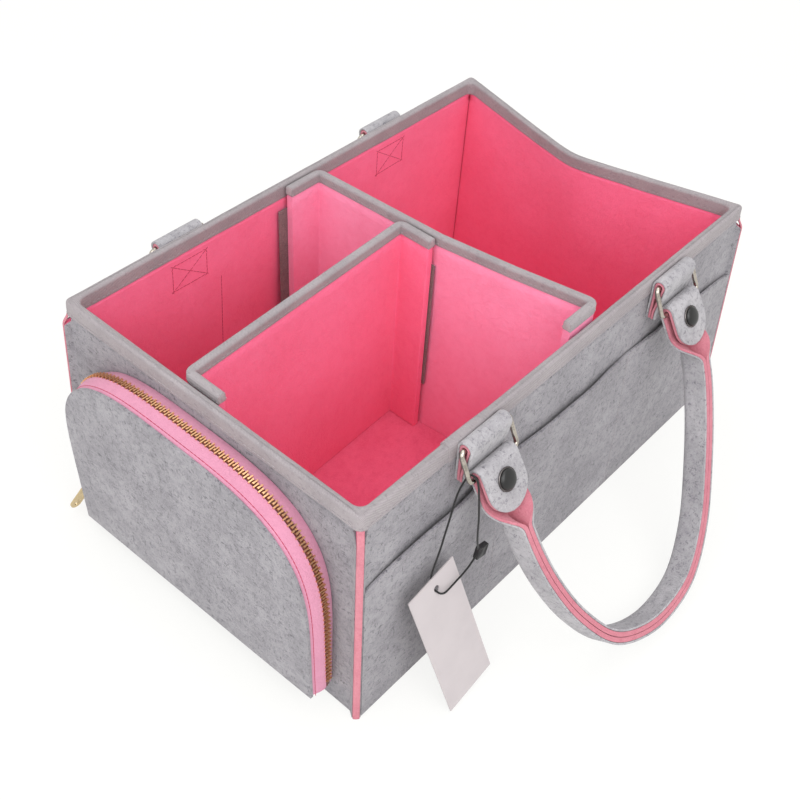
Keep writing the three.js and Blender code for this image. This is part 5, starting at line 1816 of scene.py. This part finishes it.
@dataclass
class RingLoop:
    """A felt loop that holds a ring: up the wall, over the bar and down again."""

    shape: BodyShape
    sizes: RingSizes
    seamstress: Seamstress
    label: str
    centre_x: float
    sign: int
    foot: float = 136.0
    stitch_inset: float = 3.0

    def _path(self) -> Array:
        """The middle line between felt and lining, as (out, up)."""
        s, r = self.shape, self.sizes
        back = s.clear + r.felt + s.clear / 2
        front = back + s.clear + 2 * r.lining + s.clear
        over_tape = min(s.binding_foot, r.bar_height - s.clear)
        pinch = over_tape - r.loop_pinch
        up = [(s.side_face(z) + back + extra, z)
              for z, extra in ((r.loop_foot, 0.0), (pinch, 0.0), (over_tape, s.rim_overhang))]
        roll = [(r.bar_y - r.roll * math.cos(t), r.bar_height + r.roll * math.sin(t))
                for t in np.linspace(0, math.pi, 17)]
        down = [(s.side_face(z) + front, z) for z in (pinch, r.loop_foot)]
        return np.array([*up, *roll, *down])

    def build(self) -> None:
        """Makes both layers and marks the stitching at the loop's foot."""
        s = self.shape
        r = self.sizes
        path = split_long(self._path(), 5)
        path = path[path[:, 1] > self.foot]
        # The loop's felt layer takes the lighter grey felt copy: painted light.
        layers = (("felt", s.clear / 2, r.felt, Finish.PALE_GREY, Slot.FELT),
                  ("lining", -s.clear / 2 - r.lining, r.lining, Finish.RAW_PINK, Slot.LINING))
        for layer, low, thick, finish, slot in layers:
            faces = [self._face(path, low + offset) for offset in (thick, 0.0)]
            name = f"loop_{self.label}_{layer}"
            piece = sheet(*faces).build(f"{name}_soft", finish)
            settle(soften(piece, 0.5), Body.CADDY, slot, name)
        half = r.loop_width / 2 - self.stitch_inset
        x = np.linspace(self.centre_x - half, self.centre_x + half, 20)
        z = path[-1, 1] + self.stitch_inset
        out = np.interp(z, path[-8:, 1][::-1], path[-8:, 0][::-1]) + s.clear / 2 + r.felt + 0.1
        line = np.column_stack([x, np.full(20, self.sign * out), np.full(20, z)])
        self.seamstress.sew(Body.CADDY, Finish.THREAD, line)

    def _face(self, path: Array, offset: float) -> Array:
        """One face of a layer, at an offset from the middle line."""
        spot = path + normals_of(path) * offset
        x = np.linspace(self.centre_x - self.sizes.loop_width / 2, self.centre_x + self.sizes.loop_width / 2, 10)
        grid = np.zeros((len(path), len(x), 3))
        grid[..., 0] = x[None, :]
        grid[..., 1] = self.sign * spot[:, None, 0]
        grid[..., 2] = spot[:, None, 1]
        return grid


@dataclass
class WireRing:
    """A bent wire ring that hangs in its loop."""

    sizes: RingSizes
    label: str
    centre_x: float
    sign: int
    sides: int = 20

    def build(self) -> None:
        """Makes the ring."""
        r = self.sizes
        x, y = r.half_width - r.corner, r.height / 2 - r.corner
        sections = []
        for quarter, (cx, cy) in enumerate(((x, y), (-x, y), (-x, -y), (x, -y))):
            for angle in np.linspace(quarter, quarter + 1, 9) * math.pi / 2:
                out = np.array([math.cos(angle), math.sin(angle), 0])
                centre = np.array([cx, cy - r.height / 2, 0]) + out * r.corner
                round_ = np.linspace(0, 2 * math.pi, self.sides, endpoint=False)
                sections.append([centre + out * r.wire * math.cos(t) + np.array([0, 0, r.wire * math.sin(t)])
                                 for t in round_])
        flat = np.array(sections)
        turn = math.pi / 2 + self.sign * r.tilt
        cosine, sine = math.cos(turn), math.sin(turn)
        y, z = flat[..., 1].copy(), flat[..., 2].copy()
        flat[..., 1] = y * cosine - z * sine + self.sign * r.bar_y
        flat[..., 2] = y * sine + z * cosine + r.bar_height
        flat[..., 0] += self.centre_x
        name = f"ring_{self.label}"
        settle(loft(flat, True).build(f"{name}_wire", Finish.WIRE, 60), name, Slot.RING, name)


@dataclass
class StrapHandle:
    """A felt strap that is doubled over two rings and folded lengthwise round its hanging arc."""

    shape: BodyShape
    sizes: RingSizes
    seamstress: Seamstress
    label: str
    sign: int
    half: float = 18.5
    end_half: float = 15.5
    felt: float = 1.3
    lining: float = 2.9
    lining_pressed: float = 1.7
    fold_radius: float = 3.25
    flat_crease: float = 3.0
    tongue: float = 28.0
    tongue_shoulder: float = 13.0
    flat_run: float = 18.0
    shift: float = 3.8
    drop: float = 160.8
    fold_done: float = 41.0
    snap_place: float = 9.5
    snap_rim: tuple = ((0.0, 0.25), (6.7, 0.25), (7.05, 0.5), (7.05, 0.85), (6.8, 1.15), (6.3, 1.2), (0.0, 1.1))
    snap_cap: tuple = ((0.0, 1.15), (6.0, 1.15), (6.15, 1.5), (6.0, 1.95), (5.4, 2.5), (4.4, 2.95), (3.0, 3.25),
                       (1.4, 3.4), (0.0, 3.42))
    course: tuple = ((-1.01, 0.27), (-1.0, 0.385), (-0.96, 0.52), (-0.855, 0.7), (-0.645, 0.89), (-0.36, 0.98),
                     (-0.1, 1.0), (0.18, 0.965), (0.46, 0.83), (0.7, 0.62), (0.87, 0.43), (0.965, 0.28))

    @property
    def roll(self) -> float:
        """The middle line's radius where the strap goes round a bar."""
        return self.sizes.wire + SHAPE.clear + self.lining_pressed + SHAPE.clear / 2

    @property
    def down(self) -> Array:
        """The way down the hanging handle."""
        return np.array([0, math.sin(self.sizes.handle_tilt), -math.cos(self.sizes.handle_tilt)])

    @property
    def inward(self) -> Array:
        """The way from the handle toward the wall."""
        return np.array([0, -math.cos(self.sizes.handle_tilt), -math.sin(self.sizes.handle_tilt)])

    def point(self, x: float, down: float, inward: float) -> Array:
        """A point of the handle, on the far side of the caddy."""
        start = np.array([x, self.sizes.low_y, self.sizes.low_z])
        return start + self.down * down + self.inward * inward

    def _tongue_half(self, down: float) -> float:
        """Half the tongue's width at a distance below the bar."""
        share = max(0.0, down - self.tongue_shoulder) / (self.tongue - self.tongue_shoulder)
        return self.end_half * math.sqrt(max(0.012, 1 - share ** 2))

    def _end(self, centre_x: float) -> list[tuple]:
        """Stations of one end: the tongue, the roll over the bar and the flat run behind.

        Args:
            centre_x: the ring's place along the caddy.

        Returns:
            Place, normal, fold and half width of each.
        """
        roll = self.roll
        stations = []
        for share in (1 - (np.linspace(0, 1, 16) ** 2) * (1 - self.tongue_shoulder / self.tongue)):
            down = self.tongue * share
            stations.append((self.point(centre_x, down, -roll), -self.inward, 0.0, self._tongue_half(down)))
        for down in (8.0, 4.0):
            stations.append((self.point(centre_x, down, -roll), -self.inward, 0.0, self.end_half))
        for angle in np.linspace(0, math.pi, 17):
            normal = -self.inward * math.cos(angle) - self.down * math.sin(angle)
            place = self.point(centre_x, -roll * math.sin(angle), -roll * math.cos(angle))
            stations.append((place, normal, 0.0, self.end_half))
        for down in (6.0, 12.0, self.flat_run):
            stations.append((self.point(centre_x, down, roll), self.inward, 0.0, self.end_half))
        return stations

    def _arc(self) -> list[tuple]:
        """Stations of the hanging arc between the two flat runs."""
        middle = (self.sizes.left_x + self.sizes.right_x) / 2
        span = (self.sizes.right_x - self.sizes.left_x) / 2
        knots = [(self.sizes.left_x, self.flat_run)]
        knots += [(middle + span * across, self.drop * down) for across, down in self.course]
        knots += [(self.sizes.right_x, self.flat_run)]
        line = smooth_line(np.array(knots))
        run = _runs(line)
        length, fold_run = run[-1], self.fold_done - self.flat_run
        stops = np.concatenate([np.linspace(0, fold_run, 15)[1:], np.linspace(fold_run, length - fold_run, 90)[1:-1],
                                np.linspace(length - fold_run, length, 15)[:-1]])
        stations = []
        for stop in stops:
            x, down = (np.interp(stop, run, line[:, axis]) for axis in range(2))
            share = min(1.0, min(stop, length - stop) / fold_run)
            folded = ease(share)
            place = self.point(x, down, self.roll + self.shift * folded)
            half = self.end_half + (self.half - self.end_half) * folded
            stations.append((place, self.inward, math.pi / 2 * folded, half))
        return stations

    def _row(self, place: Array, normal: Array, across: Array, fold: float, half: float, offset: float) -> Array:
        """The points across one layer at one station.

        Args:
            place: the strap's middle.
            normal: the way to its grey side.
            across: the way across it.
            fold: how far each half is folded, in radians.
            half: half the strap's width.
            offset: the layer's place toward the grey side.

        Returns:
            A row of positions.
        """
        crease = max(self.fold_radius * fold, self.flat_crease)
        leg = max(half, crease) - crease
        turns = [(-1, t) for t in np.linspace(1, 0, 7)] + [(t, 0.0) for t in np.linspace(-1, 1, 11)[1:-1]]
        turns += [(1, t) for t in np.linspace(0, 1, 7)]
        row = []
        for turn, share in turns:
            angle = fold * turn
            side = math.copysign(1.0, turn) if turn else 0.0
            radius = crease / fold if fold > 1e-6 else 0.0
            flat = radius * math.sin(angle) if radius else crease * turn
            sink = radius * (math.cos(angle) - 1)
            a = flat + side * leg * share * math.cos(angle) + offset * math.sin(angle)
            b = sink - leg * share * math.sin(abs(angle)) + offset * math.cos(angle)
            row.append(place + across * a + normal * b)
        return np.array(row)

    def build(self) -> None:
        """Makes the strap's two layers and its snaps."""
        s = self.shape
        ends = [self._end(x) for x in (self.sizes.left_x, self.sizes.right_x)]
        stations = [*ends[0], *self._arc(), *reversed(ends[1])]
        ahead = ways_along(np.array([station[0] for station in stations]))
        across = [np.cross(station[1], way) for station, way in zip(stations, ahead)]
        across = [way / np.linalg.norm(way) for way in across]
        gap, body = s.clear / 2, f"handle_{self.label}"
        padding = [self.lining_pressed + (self.lining - self.lining_pressed) * fold / (math.pi / 2)
                   for _, _, fold, _ in stations]
        grey = ([gap + self.felt] * len(stations), [gap] * len(stations))
        pink = ([-gap] * len(stations), [-gap - thick for thick in padding])
        # The strap's felt layer takes the lighter grey felt copy: painted light.
        layers = (("felt", grey, Finish.PALE_GREY, Slot.FELT), ("lining", pink, Finish.RAW_PINK, Slot.LINING))
        for layer, offsets, finish, slot in layers:
            faces = []
            for levels in offsets:
                rows = [self._row(place, normal, way, fold, half, offset)
                        for (place, normal, fold, half), way, offset in zip(stations, across, levels)]
                grid = np.array(rows)
                grid[..., 1] *= self.sign
                faces.append(grid)
            name = f"handle_{self.label}_{layer}"
            settle(soften(sheet(*faces).build(f"{name}_soft", finish), 0.5), body, slot, name)
        for end, centre_x in (("left", self.sizes.left_x), ("right", self.sizes.right_x)):
            self._snap(end, centre_x, body)

    def _snap(self, end: str, centre_x: float, body: str) -> None:
        """Makes one snap: a plated rim and a black domed cap."""
        s = self.shape
        face = self.roll + s.clear / 2 + self.felt
        mirror = np.array([1, self.sign, 1])
        seat = self.point(centre_x, self.snap_place, -face) * mirror
        out = -self.inward * mirror
        side = np.array([1.0, 0, 0])
        up = np.cross(out, side)
        for label, profile, finish, slot in (("rim", self.snap_rim, Finish.GUNMETAL, Slot.SNAP_RIM),
                                             ("cap", self.snap_cap, Finish.SNAP, Slot.SNAP)):
            name = f"snap_{label}_{self.label}_{end}"
            piece = turned(profile, seat, out, side, up).build(f"{name}_turned", finish, 50)
            settle(piece, body, slot, name)


def smooth_line(knots: Array, steps: int = 16) -> Array:
    """A centripetal Catmull-Rom line through knots, as the CAD part draws it.

    Args:
        knots: the knots.
        steps: points between two knots.

    Returns:
        The line's points.
    """
    ends = [2 * knots[0] - knots[1], *knots, 2 * knots[-1] - knots[-2]]
    line = []
    for p0, p1, p2, p3 in zip(ends, ends[1:], ends[2:], ends[3:]):
        d0, d1, d2 = (max(1e-4, float(np.linalg.norm(b - a))) ** 0.5 for a, b in ((p0, p1), (p1, p2), (p2, p3)))
        t1 = ((p1 - p0) / d0 - (p2 - p0) / (d0 + d1) + (p2 - p1) / d1) * d1
        t2 = ((p2 - p1) / d1 - (p3 - p1) / (d1 + d2) + (p3 - p2) / d2) * d1
        c2, c3 = -3 * p1 + 3 * p2 - 2 * t1 - t2, 2 * p1 - 2 * p2 + t1 + t2
        for t in np.linspace(0, 1, steps, endpoint=False):
            line.append(p1 + t1 * t + c2 * t * t + c3 * t ** 3)
    line.append(knots[-1])
    return np.array(line)


def turned(profile: Sequence[tuple[float, float]], seat: Array, out: Array, side: Array, up: Array,
           sides: int = 40) -> Skin:
    """A turned solid.

    Args:
        profile: radius and height of each corner, from the axis to the axis.
        seat: where its foot is.
        out: its axis.
        side: one way across it.
        up: the other way across it.
        sides: faces round it.

    Returns:
        The solid.
    """
    skin = Skin()
    rings = []
    for radius, height in profile:
        centre = seat + out * height
        if radius == 0:
            rings.append([skin.add(centre)] * sides)
            continue
        angles = np.linspace(0, 2 * math.pi, sides, endpoint=False)
        start = skin.add(np.array([centre + (side * math.cos(t) + up * math.sin(t)) * radius for t in angles]))
        rings.append([start + index for index in range(sides)])
    for low, high in zip(rings, rings[1:]):
        for index in range(sides):
            other = (index + 1) % sides
            corners = [low[index], low[other], high[other], high[index]]
            unique = list(dict.fromkeys(corners))
            if len(unique) > 2:
                skin.face(unique)
    return skin


# ---------------------------------------------------------------- the tag


@dataclass
class HangTag:
    """A blank card on a thin black cord, with the seal that joins the cord's ends."""

    cord_radius: float = 0.6
    seal_place: tuple = (-109.6, -140.0, 90.2)
    seal_side: float = 8.6
    seal_thick: float = 3.6
    seal_turn: float = math.radians(-14)
    link_knots: tuple = ((-112.8, -140.1, 91.4), (-115.4, -140.1, 88.2))
    route: tuple = (
        (-118.9, -140, 84.8), (-124, -139.8, 82.2), (-130, -139.6, 80.4), (-136, -139.8, 79.8),
        (-140.8, -140, 80.6), (-143.6, -139, 82.3), (-144.6, -136.2, 83.6), (-144.6, -133.6, 85.4),
        (-143.6, -131.9, 89.5), (-141.8, -131.5, 95.5), (-139.2, -131.4, 103), (-136.4, -131.2, 110.5),
        (-133.3, -130.6, 118.5), (-129.1, -129.7, 127.7), (-124.7, -128.4, 136), (-121.4, -127.7, 141),
        (-118.3, -127.7, 144.9), (-116, -128.3, 148.5), (-115.2, -129.8, 151), (-115.2, -132.2, 151.6),
        (-115.2, -134.4, 150.3), (-115.2, -135.5, 147.5), (-115.2, -136.6, 142), (-115.3, -137.8, 134),
        (-115.4, -139.2, 122), (-115.2, -139.8, 110), (-114.2, -140, 101), (-112.9, -140, 96),
        (-112.5, -140, 93.6))

    def _seal(self) -> bpy.types.Object:
        """Makes the small moulded seal at the cord's end."""
        half, thick, turn = self.seal_side / 2, self.seal_thick / 2, self.seal_turn
        centre = np.array(self.seal_place)
        across = np.array([math.cos(turn), 0.0, math.sin(turn)]) * half
        up = np.array([-math.sin(turn), 0.0, math.cos(turn)]) * half
        faces = []
        for way in (-1, 1):
            grid = [[centre + across * a + up * b + [0, way * thick, 0] for a in (-1, -0.85, 0, 0.85, 1)]
                    for b in (-1, -0.85, 0, 0.85, 1)]
            faces.append(np.array(grid))
        piece = soften(sheet(*faces).build("tag_seal_block", Finish.SEAL), 0.7, 3)
        return settle(piece, Body.TAG, Slot.SEAL, "tag_seal")

    def _tube(self, line: Array, name: str) -> bpy.types.Object:
        """Makes a round cord along a line.

        Args:
            line: the points that it follows.
            name: the piece's name.

        Returns:
            The cord.
        """
        ahead = ways_along(line)
        side = np.cross(ahead[0], [0, 0, 1.0])
        sections = []
        for place, way in zip(line, ahead):
            side = side - way * (side @ way)
            side /= np.linalg.norm(side)
            up = np.cross(way, side)
            angles = np.linspace(0, 2 * math.pi, 10, endpoint=False)
            sections.append([place + (side * math.cos(t) + up * math.sin(t)) * self.cord_radius for t in angles])
        return loft(np.array(sections), False).build(name, Finish.CORD, 60)

    def build(self, frame: dict) -> None:
        """Args:
            frame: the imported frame.
        """
        line = spaced(smooth_line(np.array(self.route, float)), 220)
        cord = settle(self._tube(line, "tag_cord_line"), Body.TAG, Slot.CORD, "tag_cord")
        seal = self._seal()
        knots = np.array([line[-1] + [0, 0, 0.5], *self.link_knots, line[0] + [-0.5, 0, -0.3]])
        link = settle(self._tube(spaced(smooth_line(knots), 24), "tag_cord_link"), Body.TAG, Slot.CORD)
        card = paint_node(frame, "hang_tag", Finish.CARD)


# ---------------------------------------------------------------- studio


@dataclass(frozen=True)
class Studio:
    """The camera at the photograph's angle, a pale floor and soft light."""

    place: tuple = (-0.4566, -0.3517, 0.6040)
    azimuth: float = math.radians(-51.298)
    elevation: float = math.radians(44.690)
    roll: float = math.radians(4.104)
    focal_pixels: float = 1142.74
    sensor: float = 36.0
    aim: tuple = (0, 0, 0.08)
    lamps: tuple = (("key", (-0.6, -1.35, 1.6), 1.6, 21.0), ("fill", (-1.7, -0.1, 1.2), 1.5, 13.0),
                    ("top", (0.3, 0.3, 2.4), 2.0, 15.5))
    ambient: float = 0.7
    white: tuple = (1, 1, 0.985, 1)
    floor_reach: float = 6.0
    floor_under: float = -0.0004
    floor_glow: float = 0.8

    def camera(self) -> None:
        """Makes the camera."""
        a, e, turn = self.azimuth, self.elevation, self.roll
        back = Vector((math.sin(a) * math.cos(e), -math.cos(a) * math.cos(e), math.sin(e)))
        flat = Vector((math.cos(a), math.sin(a), 0))
        up = back.cross(flat)
        right = math.cos(turn) * flat + math.sin(turn) * up
        top = -math.sin(turn) * flat + math.cos(turn) * up
        lens = bpy.data.cameras.new("view")
        lens.sensor_width = self.sensor
        lens.lens = self.sensor * self.focal_pixels / IMAGE_SIDE
        lens.clip_start, lens.clip_end = 0.05, 30
        camera = new_object("view", lens)
        axes = Matrix((right, top, back)).transposed().to_4x4()
        camera.matrix_world = Matrix.Translation(self.place) @ axes
        bpy.context.scene.camera = camera

    def build(self) -> None:
        """Makes the floor, the lamps and the world."""
        self._floor()
        for name, place, size, power in self.lamps:
            light = bpy.data.lights.new(name, "AREA")
            light.shape, light.size, light.energy = "SQUARE", size, power
            lamp = new_object(name, light)
            aim = Vector(self.aim) - Vector(place)
            lamp.rotation_euler = aim.to_track_quat("-Z", "Y").to_euler()
            lamp.location = place
        s = ShaderSheet("studio", world=True)
        soft = s.node("ShaderNodeBackground", inputs={"Color": (1, 0.99, 0.985, 1), "Strength": self.ambient})
        white = s.node("ShaderNodeBackground", inputs={"Color": self.white, "Strength": 1.0})
        bpy.context.scene.world = s.close(s.node("ShaderNodeMixShader", inputs={0: s.seen(), 1: soft, 2: white}))
        bpy.context.scene.view_settings.view_transform = "Standard"

    def _floor(self) -> None:
        """Makes the pale floor, which keeps the object's shadow."""
        mesh = bpy.data.meshes.new("floor")
        reach, under = self.floor_reach, self.floor_under
        mesh.from_pydata([(-reach, -reach, under), (reach, -reach, under), (reach, reach, under),
                          (-reach, reach, under)], [], [(0, 1, 2, 3)])
        s = ShaderSheet("floor")
        matt = s.node("ShaderNodeBsdfDiffuse", inputs={"Color": linear((0.97, 0.97, 0.96))})
        glow = s.node("ShaderNodeEmission", inputs={"Color": self.white, "Strength": 1.0})
        mixed = s.node("ShaderNodeMixShader", inputs={0: s.seen() * self.floor_glow, 1: matt, 2: glow})
        mesh.materials.append(s.close(mixed))
        new_object("floor", mesh)


def main() -> None:
    """Builds the caddy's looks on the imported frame."""
    logging.basicConfig(level=logging.INFO, format="%(name)s: %(message)s")
    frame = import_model()
    studio = Studio()
    studio.camera()
    HangTag().build(frame)
    seamstress = Seamstress()
    Carcass(SHAPE, seamstress).build()
    RimTape(SHAPE, seamstress).build()
    for side in (WallSide.NEAR, WallSide.FAR):
        SidePocket(SHAPE, seamstress, side).build()
    EndPouch(SHAPE, seamstress).build()
    for divider in DividerPlan(SHAPE).dividers(seamstress):
        divider.build()
    for label, sign, rings in (("near", -1, NEAR_RINGS), ("far", 1, FAR_RINGS)):
        for end, centre_x in (("left", rings.left_x), ("right", rings.right_x)):
            RingLoop(SHAPE, rings, seamstress, f"{label}_{end}", centre_x, sign).build()
            WireRing(rings, f"{label}_{end}", centre_x, sign).build()
        StrapHandle(SHAPE, rings, seamstress, label, sign).build()
    for name in ("zip_slider", "zip_pull"):
        paint_node(frame, name, Finish.GOLD)
    seamstress.finish()
    studio.build()


if __name__ == "__main__":
    main()
